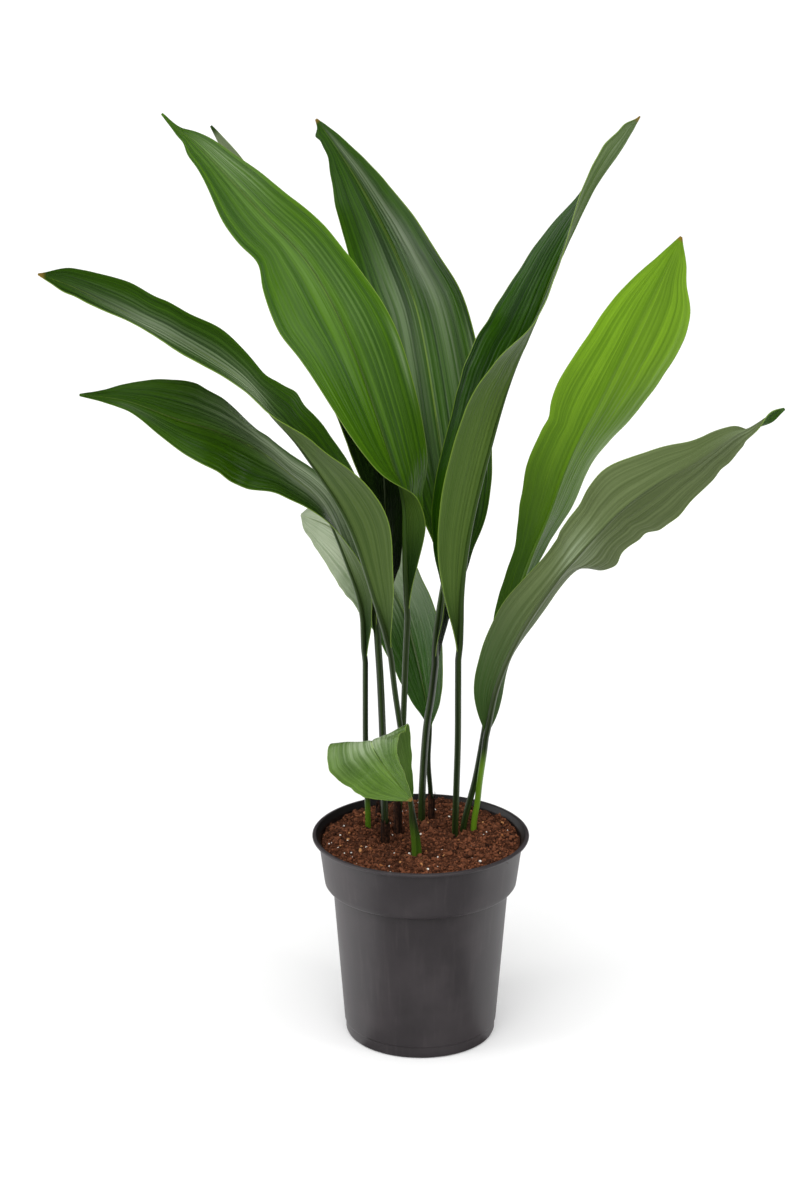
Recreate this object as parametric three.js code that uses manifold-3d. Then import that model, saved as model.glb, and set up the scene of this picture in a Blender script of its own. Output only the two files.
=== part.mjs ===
// A potted cast iron plant (aspidistra) in its nursery pot: ten leaves on stalks that rise from a rhizome in
// potting mix.
// Millimetres, +Z up. The origin is the centre of the pot's flat underside, and -Y is the plant's front.
import * as THREE from "three";
import { mergeVertices } from "three/addons/utils/BufferGeometryUtils.js";
import Module from "manifold-3d";

const wasm = await Module();
wasm.setup();

// Driving dimensions
const SEAT_GAP = 0.3; // between pieces that touch
const POT_HEIGHT = 186;
const POT_WALL = 1.6;
const POT_FLOOR = 2;
const LIP_RADIUS = 95;
const LIP_THICKNESS = 3.2;
const LIP_ROUNDING = 1.2;
const COLLAR_TOP_RADIUS = 89.6;
const COLLAR_RADIUS = 86.8;
const COLLAR_FOOT_RADIUS = 84.6;
const COLLAR_FOOT_HEIGHT = 144;
const COLLAR_MIDDLE_HEIGHT = 162; // where the collar's side bends a little
const BODY_TOP_RADIUS = 77;
const BODY_TOP_HEIGHT = 138;
const BODY_FOOT_RADIUS = 67.2;
const BASE_RING_RADIUS = 66;
const BASE_RING_HEIGHT = 11;
const BASE_ROUNDING = 3;
const BASE_RING_FLARE = 0.2;
const BASE_LEDGE_RISE = 0.8; // from the top of the base ring to the wider body
const POT_SEGMENTS = 48;
const DRAIN_COUNT = 8;
const DRAIN_RADIUS = 4.5;
const DRAIN_CIRCLE = 46;
const DRAIN_SIDES = 16;

const MIX_EDGE_HEIGHT = 176;
const MIX_HEAP = { x: 8, y: 55, rise: 9, spread: 46 };
const MIX_LUMP = { height: 0.8, lengthX: 5.3, lengthY: 6.1 };
const MIX_SHOULDER = { out: 0.9, drop: 2 }; // the widest ring of the mix, just below its edge
const MIX_SEGMENTS = 36;
const MIX_RINGS = 6;

const RHIZOME_HEIGHT = 142;
const RHIZOME_RADIUS = 8;
const RHIZOME_SIDES = 10;
const RHIZOME_WAVE = 0.6; // how far it rises and sinks from knot to knot
const STALK_FOOT_HEIGHT = 146;
const STALK_SIDES = 8;
const STALK_STEPS = 9;

const BLADE_THICKNESS = 1;
const KEEL_THICKNESS = 3;
const KEEL_LENGTH = 0.2; // share of the blade's length over which the keel thins out
const HALF_CURVE = 0.15; // how much flatter each half gets towards its margin
const BLADE_CELLS_ACROSS = 4;
const BLADE_CELLS_PER_STATION = 2;
const LEAST_HALF_WIDTH = 0.8;

const SHEATH_WALL = 0.9;
const SHEATH_FLARE = 0.4;
const SHEATH_LIFT = 2; // its foot above the rhizome's top
const SHEATH_SIDES = 10;
const WELD_DISTANCE = 1e-3;
const UNDERSIDE = 3; // the box's group of faces that becomes the blade's underside

// Each leaf has the points of its stalk, from the rhizome up, and then the stations of its blade, from foot to
// tip. A station is x, y, z on the midrib, the left and right half-widths, the angle by which each half is
// folded up from flat, and the turn of the upper side about the midrib, in degrees from facing the leaf's front.
const FRONT = [0, -1, 0];
const LEAVES = [
  {
    name: "upper_left",
    front: FRONT,
    stalkRadius: 2.9,
    stalk: [[-20, 21, STALK_FOOT_HEIGHT], [-20, 21, 182], [-17, 21, 225], [-15, 21, 280], [-13, 22, 338]],
    blade: [
      [-11, 24, 392, 4, 4, 20, 90],
      [-12, 27, 445, 17, 15, 52, 90],
      [-14, 33, 479, 26, 26, 30, 86],
      [-25, 41, 513, 36, 35, 15, 50],
      [-59, 68, 605, 44, 40, 6, 14],
      [-94, 90, 669, 46, 32, 5, 10],
      [-136, 108, 712, 31, 28, 8, 8],
      [-187, 124, 764, 11, 13, 12, 5],
      [-208, 129, 781, 4, 3, 8, 5],
      [-222, 133, 794, 1, 1, 5, 5],
    ],
  },
  {
    name: "rear_left",
    front: FRONT,
    stalkRadius: 3.2,
    stalk: [[-31, 2, STALK_FOOT_HEIGHT], [-31, 2, 182], [-32, 5, 225], [-33, 9, 270], [-35, 15, 320]],
    blade: [
      [-38, 24, 376, 4, 4, 20, 60],
      [-36, 37, 416, 16, 18, 40, 60],
      [-31, 56, 457, 28, 20, 22, 50],
      [-35, 78, 513, 37, 26, 15, 32],
      [-51, 97, 578, 40, 30, 10, 25],
      [-92, 121, 653, 32, 20, 10, 50],
      [-146, 148, 726, 15, 13, 14, 120],
      [-182, 163, 779, 1, 1, 10, 160],
    ],
  },
  {
    name: "rear_centre",
    front: FRONT,
    stalkRadius: 3.3,
    stalk: [[1, 37, STALK_FOOT_HEIGHT], [1, 37, 182], [2, 38, 220], [5, 41, 266], [10, 45, 300]],
    blade: [
      [14, 50, 336, 4, 4, 20, 60],
      [18, 58, 372, 14, 9, 45, 50],
      [23, 70, 414, 25, 20, 40, 30],
      [23, 90, 463, 37, 39, 25, 12],
      [16, 116, 515, 43, 47, 14, 2],
      [-1, 156, 609, 44, 48, 18, -6],
      [-22, 176, 664, 41, 43, 22, -20],
      [-51, 192, 718, 25, 26, 28, -6],
      [-79, 199, 761, 9, 9, 14, -4],
      [-92, 202, 779, 1, 1, 5, -4],
    ],
  },
  {
    name: "folded_right",
    front: FRONT,
    stalkRadius: 3.1,
    stalk: [[30, 11, STALK_FOOT_HEIGHT], [30, 11, 182], [31, 11, 225], [32, 12, 268], [32, 13, 312]],
    blade: [
      [32, 14, 354, 4, 4, 20, -88],
      [33, 16, 404, 18, 17, 56, -88],
      [42, 20, 465, 38, 35, 58, -85],
      [62, 28, 544, 41, 40, 58, -84],
      [77, 37, 589, 41, 40, 55, -69],
      [95, 48, 629, 36, 36, 46, -52],
      [114, 62, 677, 26, 26, 34, -58],
      [144, 76, 737, 17, 19, 30, -95],
      [169, 84, 772, 15, 20, 30, -108],
      [184, 90, 798, 1, 1, 5, -110],
    ],
  },
  {
    name: "bright_right",
    front: FRONT,
    stalkRadius: 2.8,
    stalk: [[38, 24, STALK_FOOT_HEIGHT], [38, 24, 182], [48, 26, 225], [55, 29, 265], [60, 30, 298]],
    blade: [
      [66, 30, 335, 4, 4, 20, 195],
      [79, 27, 382, 15, 17, 50, 195],
      [93, 19, 430, 31, 18, 50, 195],
      [108, 9, 472, 41, 29, 45, 195],
      [126, -3, 528, 43, 32, 32, 198],
      [152, -16, 589, 44, 35, 22, 186],
      [178, -28, 651, 42, 28, 20, 168],
      [199, -38, 699, 17, 10, 16, 165],
      [209, -42, 721, 1, 1, 5, 165],
    ],
  },
  {
    name: "lower_right",
    front: FRONT,
    stalkRadius: 2.7,
    stalk: [[47, 25, STALK_FOOT_HEIGHT], [47, 25, 182], [50, 24, 205], [52, 21, 227], [55, 17, 252]],
    blade: [
      [58, 12, 279, 4, 4, 20, 198],
      [66, 0, 325, 25, 26, 57, 196],
      [86, -16, 378, 33, 33, 59, 188],
      [113, -36, 428, 32, 30, 61, 180],
      [128, -46, 450, 33, 31, 38, 168],
      [145, -57, 474, 30, 34, 32, 164],
      [166, -70, 501, 38, 38, 25, 168],
      [192, -84, 526, 31, 32, 30, 158],
      [221, -100, 550, 26, 22, 42, 160],
      [247, -112, 573, 14, 12, 42, 152],
      [261, -117, 581, 6, 6, 48, 104],
      [275, -122, 592, 6, 6, 32, 40],
      [287, -126, 599, 1, 1, 5, 10],
    ],
  },
  {
    name: "long_left",
    front: FRONT,
    stalkRadius: 2.7,
    stalk: [[-2, -21, STALK_FOOT_HEIGHT], [-2, -21, 182], [-9, -22, 225], [-16, -24, 281], [-22, -25, 324]],
    blade: [
      [-28, -28, 373, 4, 4, 20, 101],
      [-38, -30, 411, 17, 17, 50, 101],
      [-61, -34, 480, 36, 32, 50, 104],
      [-98, -40, 542, 38, 29, 40, 80],
      [-123, -45, 573, 37, 31, 28, 78],
      [-147, -50, 604, 35, 35, 12, 82],
      [-199, -60, 641, 33, 33, 15, 75],
      [-234, -66, 661, 28, 28, 18, 74],
      [-278, -74, 686, 20, 22, 12, 72],
      [-307, -80, 698, 1, 1, 5, 70],
    ],
  },
  {
    name: "lower_left",
    front: FRONT,
    stalkRadius: 2.7,
    stalk: [[-46, 25, STALK_FOOT_HEIGHT], [-46, 25, 182], [-47, 24, 222], [-48, 24, 263], [-48, 23, 308]],
    blade: [
      [-48, 23, 347, 4, 4, 20, 93],
      [-49, 21, 379, 11, 10, 36, 93],
      [-58, 18, 415, 20, 20, 34, 93],
      [-83, 10, 479, 30, 30, 10, 78],
      [-113, 0, 512, 34, 32, -7, 73],
      [-137, -12, 535, 36, 33, -20, 54],
      [-170, -30, 556, 35, 31, 4, 47],
      [-201, -46, 570, 21, 31, 8, 37],
      [-236, -62, 588, 10, 16, 10, 32],
      [-258, -71, 595, 5, 6, 8, 32],
      [-277, -80, 599, 1, 1, 5, 30],
    ],
  },
  {
    name: "rear_low",
    front: FRONT,
    stalkRadius: 2.2,
    stalk: [[10, 49, STALK_FOOT_HEIGHT], [10, 49, 182], [9, 51, 205], [7, 54, 233]],
    blade: [
      [8, 60, 266, 3, 3, 20, -10],
      [3, 72, 293, 17, 25, 34, -10],
      [-5, 90, 324, 26, 37, 30, -10],
      [-15, 112, 354, 35, 37, 26, -10],
      [-32, 138, 379, 38, 38, 18, -6],
      [-54, 164, 397, 37, 34, 10, 0],
      [-82, 188, 409, 26, 22, 6, 0],
      [-101, 201, 414, 14, 12, 4, 0],
      [-109, 206, 416, 1, 1, 5, 0],
    ],
  },
  {
    name: "small_front",
    front: [1, 0, 0],
    stalkRadius: 2.1,
    stalk: [[-6, -27, STALK_FOOT_HEIGHT], [-6, -27, 182], [-8, -31, 208]],
    blade: [
      [-10, -36, 233, 3, 3, 10, 90],
      [-22, -42, 262, 16, 24, 14, 92],
      [-35, -49, 285, 32, 36, 12, 98],
      [-42, -60, 294, 39, 36, 6, 102],
      [-40, -71, 290, 27, 37, 4, 108],
      [-32, -79, 279, 16, 34, 4, 112],
      [-21, -86, 267, 10, 24, 4, 112],
      [-8, -92, 252, 1, 1, 4, 110],
    ],
  },
];

// Brown sheaths stand round the feet of these stalks, each up to its own height.
const SHEATHS = { upper_left: 214, rear_left: 200, rear_low: 206 };
const STUB = { x: -37, y: 48, top: 197, radius: 3.4, topShare: 0.8 };

// The rhizome creeps in four short runs below the stalks, each [x, y] points from end to end.
const RHIZOME_RUNS = [
  [[-54, 27], [-44, 18], [-31, 4], [-20, 18], [6, 26], [30, 13], [44, 24], [56, 25]],
  [[0, 24], [-2, 4], [-4, -34]],
  [[2, 24], [2, 38], [11, 56]],
  [[-44, 20], [-42, 34], [-36, 52]],
];

const MATERIALS = {
  pot: new THREE.MeshStandardMaterial({ color: 0x464244, roughness: 0.55, metalness: 0 }),
  mix: new THREE.MeshStandardMaterial({ color: 0x55301f, roughness: 1, metalness: 0 }),
  rhizome: new THREE.MeshStandardMaterial({ color: 0x8a6a4a, roughness: 0.8, metalness: 0 }),
  blade: new THREE.MeshStandardMaterial({ color: 0x2f6a1c, roughness: 0.35, metalness: 0 }),
  stalk: new THREE.MeshStandardMaterial({ color: 0x2c4a22, roughness: 0.4, metalness: 0 }),
  sheath: new THREE.MeshStandardMaterial({ color: 0x3a241a, roughness: 0.9, metalness: 0 }),
};

const plant = new THREE.Group();
plant.name = "potted_cast_iron_plant";

function addPiece(name, geometry, material) {
  const piece = new THREE.Mesh(geometry, material);
  piece.name = name;
  plant.add(piece);
}

// Solids for cutting and joining
function toSolid(geometry) {
  const bare = geometry.clone();
  bare.deleteAttribute("normal");
  bare.deleteAttribute("uv");
  const merged = mergeVertices(bare, WELD_DISTANCE);
  return new wasm.Manifold(
    new wasm.Mesh({
      numProp: 3,
      vertProperties: merged.attributes.position.array,
      triVerts: new Uint32Array(merged.index.array),
    }),
  );
}

function toGeometry(solid) {
  const mesh = solid.getMesh();
  const geometry = new THREE.BufferGeometry();
  geometry.setAttribute("position", new THREE.BufferAttribute(mesh.vertProperties, 3));
  geometry.setIndex(new THREE.BufferAttribute(mesh.triVerts, 1));
  geometry.computeVertexNormals();
  return geometry;
}

const vector = ([x, y, z]) => new THREE.Vector3(x, y, z);
const smoothLine = (points) => new THREE.CatmullRomCurve3(points, false, "catmullrom", 0.5);

// A round rod along a curve, between two of its parameters
function rodAlong(curve, from, to, radius, sides, steps) {
  const points = [];
  for (let i = 0; i <= steps; i++) points.push(curve.getPoint(from + ((to - from) * i) / steps));
  const outline = new THREE.Shape();
  for (let i = 0; i < sides; i++) {
    const angle = (2 * Math.PI * i) / sides;
    const corner = [radius * Math.cos(angle), radius * Math.sin(angle)];
    if (i === 0) outline.moveTo(...corner);
    else outline.lineTo(...corner);
  }
  outline.closePath();
  return new THREE.ExtrudeGeometry(outline, {
    steps,
    bevelEnabled: false,
    extrudePath: smoothLine(points),
  });
}

// A body turned about the vertical axis from [radius, height] points
function turned(profile, segments) {
  const points = profile.map(([radius, height]) => new THREE.Vector2(radius, height));
  return new THREE.LatheGeometry(points, segments).rotateX(Math.PI / 2);
}

// Pot
function potInside(gap) {
  const inset = POT_WALL + gap;
  return [
    [0, POT_FLOOR + gap],
    [BASE_RING_RADIUS - inset, POT_FLOOR + gap],
    [BODY_FOOT_RADIUS - inset, BASE_RING_HEIGHT + 1],
    [BODY_TOP_RADIUS - inset, BODY_TOP_HEIGHT + POT_WALL + gap],
    [COLLAR_FOOT_RADIUS - inset - 1, COLLAR_FOOT_HEIGHT + POT_WALL + gap],
    [COLLAR_RADIUS - inset, COLLAR_MIDDLE_HEIGHT],
  ];
}

// Points of a quarter circle that starts straight below its centre and ends straight out from it
function roundedFoot(outerRadius, foot, rounding, steps) {
  const points = [];
  for (let i = 0; i <= steps; i++) {
    const angle = (Math.PI / 2) * (i / steps);
    points.push([outerRadius - rounding * (1 - Math.sin(angle)), foot + rounding * (1 - Math.cos(angle))]);
  }
  return points;
}

function potProfile() {
  const lipFoot = POT_HEIGHT - LIP_THICKNESS;
  const lipInner = COLLAR_TOP_RADIUS - POT_WALL;
  return [
    [0, 0],
    ...roundedFoot(BASE_RING_RADIUS, 0, BASE_ROUNDING, 2),
    [BASE_RING_RADIUS + BASE_RING_FLARE, BASE_RING_HEIGHT],
    [BODY_FOOT_RADIUS, BASE_RING_HEIGHT + BASE_LEDGE_RISE],
    ...roundedFoot(COLLAR_FOOT_RADIUS, BODY_TOP_HEIGHT, COLLAR_FOOT_RADIUS - BODY_TOP_RADIUS, 3),
    [COLLAR_RADIUS, COLLAR_MIDDLE_HEIGHT],
    [COLLAR_TOP_RADIUS, lipFoot],
    [LIP_RADIUS - LIP_ROUNDING, lipFoot],
    [LIP_RADIUS, lipFoot + LIP_ROUNDING],
    [LIP_RADIUS, POT_HEIGHT - LIP_ROUNDING],
    [LIP_RADIUS - LIP_ROUNDING, POT_HEIGHT],
    [lipInner + LIP_ROUNDING, POT_HEIGHT],
    [lipInner, POT_HEIGHT - LIP_ROUNDING],
    ...potInside(0).reverse(),
  ];
}

function makePot() {
  let solid = toSolid(turned(potProfile(), POT_SEGMENTS));
  for (let i = 0; i < DRAIN_COUNT; i++) {
    const angle = (2 * Math.PI * (i + 0.5)) / DRAIN_COUNT;
    const drain = new THREE.CylinderGeometry(DRAIN_RADIUS, DRAIN_RADIUS, 3 * POT_FLOOR, DRAIN_SIDES)
      .rotateX(Math.PI / 2)
      .translate(DRAIN_CIRCLE * Math.cos(angle), DRAIN_CIRCLE * Math.sin(angle), POT_FLOOR / 2);
    solid = solid.subtract(toSolid(drain));
  }
  addPiece("pot", toGeometry(solid), MATERIALS.pot);
}

// Leaves
function leafCurves(leaf) {
  const points = [...leaf.stalk, ...leaf.blade.map((station) => station.slice(0, 3))].map(vector);
  return {
    path: smoothLine(points),
    foot: leaf.stalk.length / (points.length - 1),
    shape: smoothLine(leaf.blade.map(([, , , left, right, fold]) => new THREE.Vector3(left, right, fold))),
    turn: smoothLine(leaf.blade.map((station) => new THREE.Vector3(station[6], 0, 0))),
  };
}

function bladeFrame(leaf, curves, share) {
  const at = curves.foot + (1 - curves.foot) * share;
  const along = curves.path.getTangent(at);
  const turn = THREE.MathUtils.degToRad(curves.turn.getPoint(share).x);
  const facing = vector(leaf.front).addScaledVector(along, -vector(leaf.front).dot(along)).normalize();
  const across = new THREE.Vector3().crossVectors(along, facing);
  const up = facing.clone().multiplyScalar(Math.cos(turn)).addScaledVector(across, Math.sin(turn));
  const shape = curves.shape.getPoint(share);
  return {
    point: curves.path.getPoint(at),
    up,
    side: new THREE.Vector3().crossVectors(along, up),
    left: Math.max(shape.x, LEAST_HALF_WIDTH),
    right: Math.max(shape.y, LEAST_HALF_WIDTH),
    fold: THREE.MathUtils.degToRad(shape.z),
  };
}

// Where a point of the blade lies: across runs from -1 at the left margin to 1 at the right one, and level is
// -0.5 on the underside and 0.5 on the upper side. Each half leaves the midrib steeply and flattens out.
function bladePoint(frame, share, across, level) {
  const hand = Math.sign(across);
  const out = Math.abs(across);
  const width = hand < 0 ? frame.left : frame.right;
  const steep = frame.fold * (1 + HALF_CURVE);
  const bend = 2 * HALF_CURVE * frame.fold;
  const slope = steep - bend * out;
  const flat = Math.abs(bend) < 1e-6;
  const reach = flat ? out * Math.cos(steep) : (Math.sin(steep) - Math.sin(slope)) / bend;
  const rise = flat ? out * Math.sin(steep) : (Math.cos(slope) - Math.cos(steep)) / bend;
  const keel = KEEL_THICKNESS * (1 - out) ** 2 * Math.max(0, 1 - share / KEEL_LENGTH) ** 2;
  const lift = level * BLADE_THICKNESS - (level < 0 ? keel : 0);
  const leanIn = hand * Math.sin(slope) * lift;
  return frame.point
    .clone()
    .addScaledVector(frame.side, hand * reach * width - leanIn)
    .addScaledVector(frame.up, rise * width + Math.cos(out ? slope : 0) * lift);
}

// A box's two broad skins are cut along opposite diagonals, and on a twisted blade they would pass through each
// other. So the underside's cells are cut along the same diagonals as the upper side's.
function matchDiagonals(slab) {
  const corners = slab.index.array;
  const { start, count } = slab.groups[UNDERSIDE];
  for (let i = start; i < start + count; i += 6) {
    const [a, b, d, , c] = corners.slice(i, i + 6);
    corners.set([a, b, c, a, c, d], i);
  }
}

function makeBlade(leaf, curves) {
  const cellsAlong = BLADE_CELLS_PER_STATION * (leaf.blade.length - 1);
  const slab = new THREE.BoxGeometry(2, 1, 1, BLADE_CELLS_ACROSS, 1, cellsAlong);
  const place = slab.attributes.position;
  for (let i = 0; i < place.count; i++) {
    const share = 0.5 - place.getZ(i);
    const frame = bladeFrame(leaf, curves, share);
    const point = bladePoint(frame, share, place.getX(i), place.getY(i));
    place.setXYZ(i, point.x, point.y, point.z);
  }
  matchDiagonals(slab);
  slab.computeVertexNormals();
  addPiece("blade_" + leaf.name, slab, MATERIALS.blade);
}

function stalkRod(leaf, curves, clearance, drop) {
  const length = curves.path.getPoint(curves.foot).distanceTo(curves.path.getPoint(0));
  const end = curves.foot * (1 - SEAT_GAP / length);
  const rod = rodAlong(curves.path, 0, end, leaf.stalkRadius + clearance, STALK_SIDES, STALK_STEPS);
  return rod.translate(0, 0, -drop);
}

function sheathTube(leaf, foot, clearance) {
  const height = SHEATHS[leaf.name] - foot;
  const [x, y] = leaf.stalk[0];
  const radius = leaf.stalkRadius + SEAT_GAP + SHEATH_WALL + clearance;
  return new THREE.CylinderGeometry(radius + SHEATH_FLARE, radius, height, SHEATH_SIDES)
    .rotateX(Math.PI / 2)
    .translate(x, y, foot + height / 2);
}

// Rhizome
function rhizomeSolid(clearance) {
  let solid = null;
  for (const run of RHIZOME_RUNS) {
    const height = (i) => RHIZOME_HEIGHT + (i % 2 ? RHIZOME_WAVE : -RHIZOME_WAVE);
    const curve = smoothLine(run.map(([x, y], i) => new THREE.Vector3(x, y, height(i))));
    const rod = toSolid(rodAlong(curve, 0, 1, RHIZOME_RADIUS + clearance, RHIZOME_SIDES, 2 * run.length));
    solid = solid ? solid.add(rod) : rod;
  }
  return solid;
}

// Potting mix
function mixHeight(x, y) {
  const distance = ((x - MIX_HEAP.x) ** 2 + (y - MIX_HEAP.y) ** 2) / MIX_HEAP.spread ** 2;
  const lumps = MIX_LUMP.height * Math.sin(x / MIX_LUMP.lengthX + 1) * Math.cos(y / MIX_LUMP.lengthY);
  return MIX_EDGE_HEIGHT + MIX_HEAP.rise * Math.exp(-distance / 2) + lumps;
}

function mixSolid() {
  const edgeRadius = COLLAR_RADIUS - POT_WALL - SEAT_GAP;
  const shoulder = MIX_EDGE_HEIGHT - MIX_SHOULDER.drop;
  const profile = [...potInside(SEAT_GAP), [edgeRadius + MIX_SHOULDER.out, shoulder]];
  for (let i = MIX_RINGS; i >= 0; i--) profile.push([(edgeRadius * i) / MIX_RINGS, MIX_EDGE_HEIGHT]);
  const body = turned(profile, MIX_SEGMENTS);
  const place = body.attributes.position;
  for (let i = 0; i < place.count; i++) {
    if (place.getZ(i) > shoulder + SEAT_GAP) place.setZ(i, mixHeight(place.getX(i), place.getY(i)));
  }
  return toSolid(body);
}

makePot();
let mix = mixSolid().subtract(rhizomeSolid(SEAT_GAP));
let rhizome = rhizomeSolid(0);
for (const leaf of LEAVES) {
  const curves = leafCurves(leaf);
  makeBlade(leaf, curves);
  addPiece("stalk_" + leaf.name, stalkRod(leaf, curves, 0, 0), MATERIALS.stalk);
  const socket = toSolid(stalkRod(leaf, curves, SEAT_GAP, SEAT_GAP));
  const wide = toSolid(stalkRod(leaf, curves, SEAT_GAP, 0));
  rhizome = rhizome.subtract(socket);
  mix = mix.subtract(wide);
  if (leaf.name in SHEATHS) {
    const foot = RHIZOME_HEIGHT + RHIZOME_RADIUS + SHEATH_LIFT;
    mix = mix.subtract(toSolid(sheathTube(leaf, foot - SEAT_GAP, SEAT_GAP)));
    const sheath = toSolid(sheathTube(leaf, foot, 0)).subtract(wide);
    addPiece("sheath_" + leaf.name, toGeometry(sheath), MATERIALS.sheath);
  }
}

const stubHeight = STUB.top - STALK_FOOT_HEIGHT;
function stubRod(clearance) {
  const radius = STUB.radius + clearance;
  return new THREE.CylinderGeometry(radius * STUB.topShare, radius, stubHeight + clearance, SHEATH_SIDES)
    .rotateX(Math.PI / 2)
    .translate(STUB.x, STUB.y, STALK_FOOT_HEIGHT + (stubHeight - clearance) / 2);
}
addPiece("dead_stub", stubRod(0), MATERIALS.sheath);
rhizome = rhizome.subtract(toSolid(stubRod(SEAT_GAP)));
mix = mix.subtract(toSolid(stubRod(SEAT_GAP)));
addPiece("rhizome", toGeometry(rhizome), MATERIALS.rhizome);
addPiece("potting_mix", toGeometry(mix), MATERIALS.mix);

export default plant;
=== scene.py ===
# %% [markdown]
# # A potted cast iron plant
# The plant is a clump of ten broad leaves. Each leaf is a long pleated blade on a slim stalk that comes up
# from a rhizome in the potting mix, and the whole stands in a round nursery pot of dark grey plastic.
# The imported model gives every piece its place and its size. This lesson gives each piece its real surface.
# Lengths are written in millimetres, as a grower would measure them, and turned into metres with MM.

# %% Load the frame
import math
import random

import bmesh
import bpy
from mathutils import Matrix, Vector, noise


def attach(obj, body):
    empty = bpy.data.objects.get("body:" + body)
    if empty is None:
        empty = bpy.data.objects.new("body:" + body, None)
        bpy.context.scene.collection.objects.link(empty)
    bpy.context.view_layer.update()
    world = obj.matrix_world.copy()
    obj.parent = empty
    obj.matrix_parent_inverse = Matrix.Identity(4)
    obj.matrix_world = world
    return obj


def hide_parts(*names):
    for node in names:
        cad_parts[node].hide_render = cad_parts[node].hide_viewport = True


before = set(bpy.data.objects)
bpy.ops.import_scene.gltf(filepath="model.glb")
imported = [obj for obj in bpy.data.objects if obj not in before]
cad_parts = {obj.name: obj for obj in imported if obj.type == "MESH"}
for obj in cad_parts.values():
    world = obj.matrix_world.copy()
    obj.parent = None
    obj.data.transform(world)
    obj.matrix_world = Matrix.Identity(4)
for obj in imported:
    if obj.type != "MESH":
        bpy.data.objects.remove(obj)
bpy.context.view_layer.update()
MM = 0.001

# %% [markdown]
# The camera stands 2.4 m in front of the plant, a little left of it and 1.2 m above the table, and looks
# down by 17.7 degrees. That tilt is what opens the pot's rim into an ellipse. From so far away, near and
# far leaves come out almost the same size, and a long lens brings them close.

# %% Camera
CAMERA_PLACE = Vector((-18.1, -2439, 1178)) * MM
CAMERA_TILT = 17.7  # degrees
CAMERA_LENS = 90
CAMERA_SENSOR = 36  # along the picture's long side

camera_data = bpy.data.cameras.new("camera")
camera_data.lens = CAMERA_LENS
camera_data.sensor_width = CAMERA_SENSOR
camera = bpy.data.objects.new("camera", camera_data)
camera.location = CAMERA_PLACE
camera.rotation_euler = (math.pi / 2 - math.radians(CAMERA_TILT), 0, 0)
bpy.context.scene.collection.objects.link(camera)
bpy.context.scene.camera = camera
print("camera", CAMERA_LENS, "mm lens, looking down by", CAMERA_TILT, "degrees")

# %% [markdown]
# The studio is a white table in an evenly lit room. Two softboxes, a fill lamp in front and a very wide
# lamp above give the light its direction. No leaf mirrors any of them: what the leaves mirror comes from
# the room's light further down, so the two can be set apart. The table glows a little, so that it stays
# white far behind.

# %% Studio
TABLE_RADIUS = 30
TABLE_SIDES = 96
TABLE_COLOUR = (0.86, 0.86, 0.86, 1)
BLACK = (0, 0, 0, 1)
WHITE = (1, 1, 1, 1)
NEAR_GLOW = 0.12  # of the table round the pot
FAR_GLOW = 0.2  # of the table far behind it
BACKDROP = 1.0  # what the camera sees behind the table's edge
ROOM_LIGHT = 0.55  # the even light that falls on everything
WINDOW_SHINE = 1.3  # what a leaf mirrors at the left
PANEL_SHINE = 0.8  # and in front of it, above the camera
DARK_SHINE = 0.02
PLANT_MIDDLE = (0, 0, 0.45)
# Each softbox: its place, its width and height, all in metres, and its power in watts
SOFTBOXES = {
    "softbox_left": ((-2.6, -1.0, 1.0), (0.8, 1.6), 18),
    "softbox_right": ((2.3, -1.3, 1.4), (0.4, 2.0), 10),
    "front_fill": ((-0.3, -2.6, 2.6), (2.4, 1.2), 20),
}
CEILING_STRENGTH = 1.8
CEILING_SPREAD = math.radians(60)
CEILING_TURN = (math.radians(22), math.radians(-6), 0)

scene = bpy.context.scene
scene.view_settings.view_transform = "Standard"
world = bpy.data.worlds.new("studio")
world.use_nodes = True
scene.world = world


def add_softbox(name, place, size, power):
    """A rectangular lamp that faces the plant. It lights the leaves, but none mirrors it."""
    data = bpy.data.lights.new(name, "AREA")
    data.shape = "RECTANGLE"
    data.size, data.size_y = size
    data.energy = power
    lamp = bpy.data.objects.new(name, data)
    lamp.location = place
    lamp.rotation_euler = (Vector(PLANT_MIDDLE) - Vector(place)).to_track_quat("-Z", "Y").to_euler()
    lamp.visible_glossy = False
    scene.collection.objects.link(lamp)


for name, (place, size, power) in SOFTBOXES.items():
    add_softbox(name, place, size, power)
ceiling_data = bpy.data.lights.new("ceiling", "SUN")
ceiling_data.energy = CEILING_STRENGTH
ceiling_data.angle = CEILING_SPREAD
ceiling = bpy.data.objects.new("ceiling", ceiling_data)
ceiling.rotation_euler = CEILING_TURN
ceiling.visible_glossy = False  # it stands for light from the whole ceiling, which no leaf shows as a spot
scene.collection.objects.link(ceiling)
print("softboxes", len(SOFTBOXES), "and a ceiling lamp")


def new_object(name, bm):
    """Turns a bmesh into a smooth object at the origin."""
    bm.normal_update()
    mesh = bpy.data.meshes.new(name)
    bm.to_mesh(mesh)
    bm.free()
    for polygon in mesh.polygons:
        polygon.use_smooth = True
    thing = bpy.data.objects.new(name, mesh)
    scene.collection.objects.link(thing)
    return thing


table_mesh = bmesh.new()
bmesh.ops.create_circle(table_mesh, cap_ends=True, segments=TABLE_SIDES, radius=TABLE_RADIUS)
table = new_object("table", table_mesh)

# %% [markdown]
# Shader nodes are placed with a few small helpers, so that each material below reads as a list of what it
# is made of.


# %% Helpers for nodes
def add_node(tree, kind, settings=(), **inputs):
    """Places a node and links or sets its inputs, named with _ for a space, or with i and their number."""
    node = tree.nodes.new(kind)
    for key, value in dict(settings).items():
        setattr(node, key, value)
    for key, value in inputs.items():
        socket = node.inputs[int(key[1:])] if key[1:].isdigit() else node.inputs[key.replace("_", " ")]
        if isinstance(value, bpy.types.NodeSocket):
            tree.links.new(value, socket)
        else:
            socket.default_value = value
    return node


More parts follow.
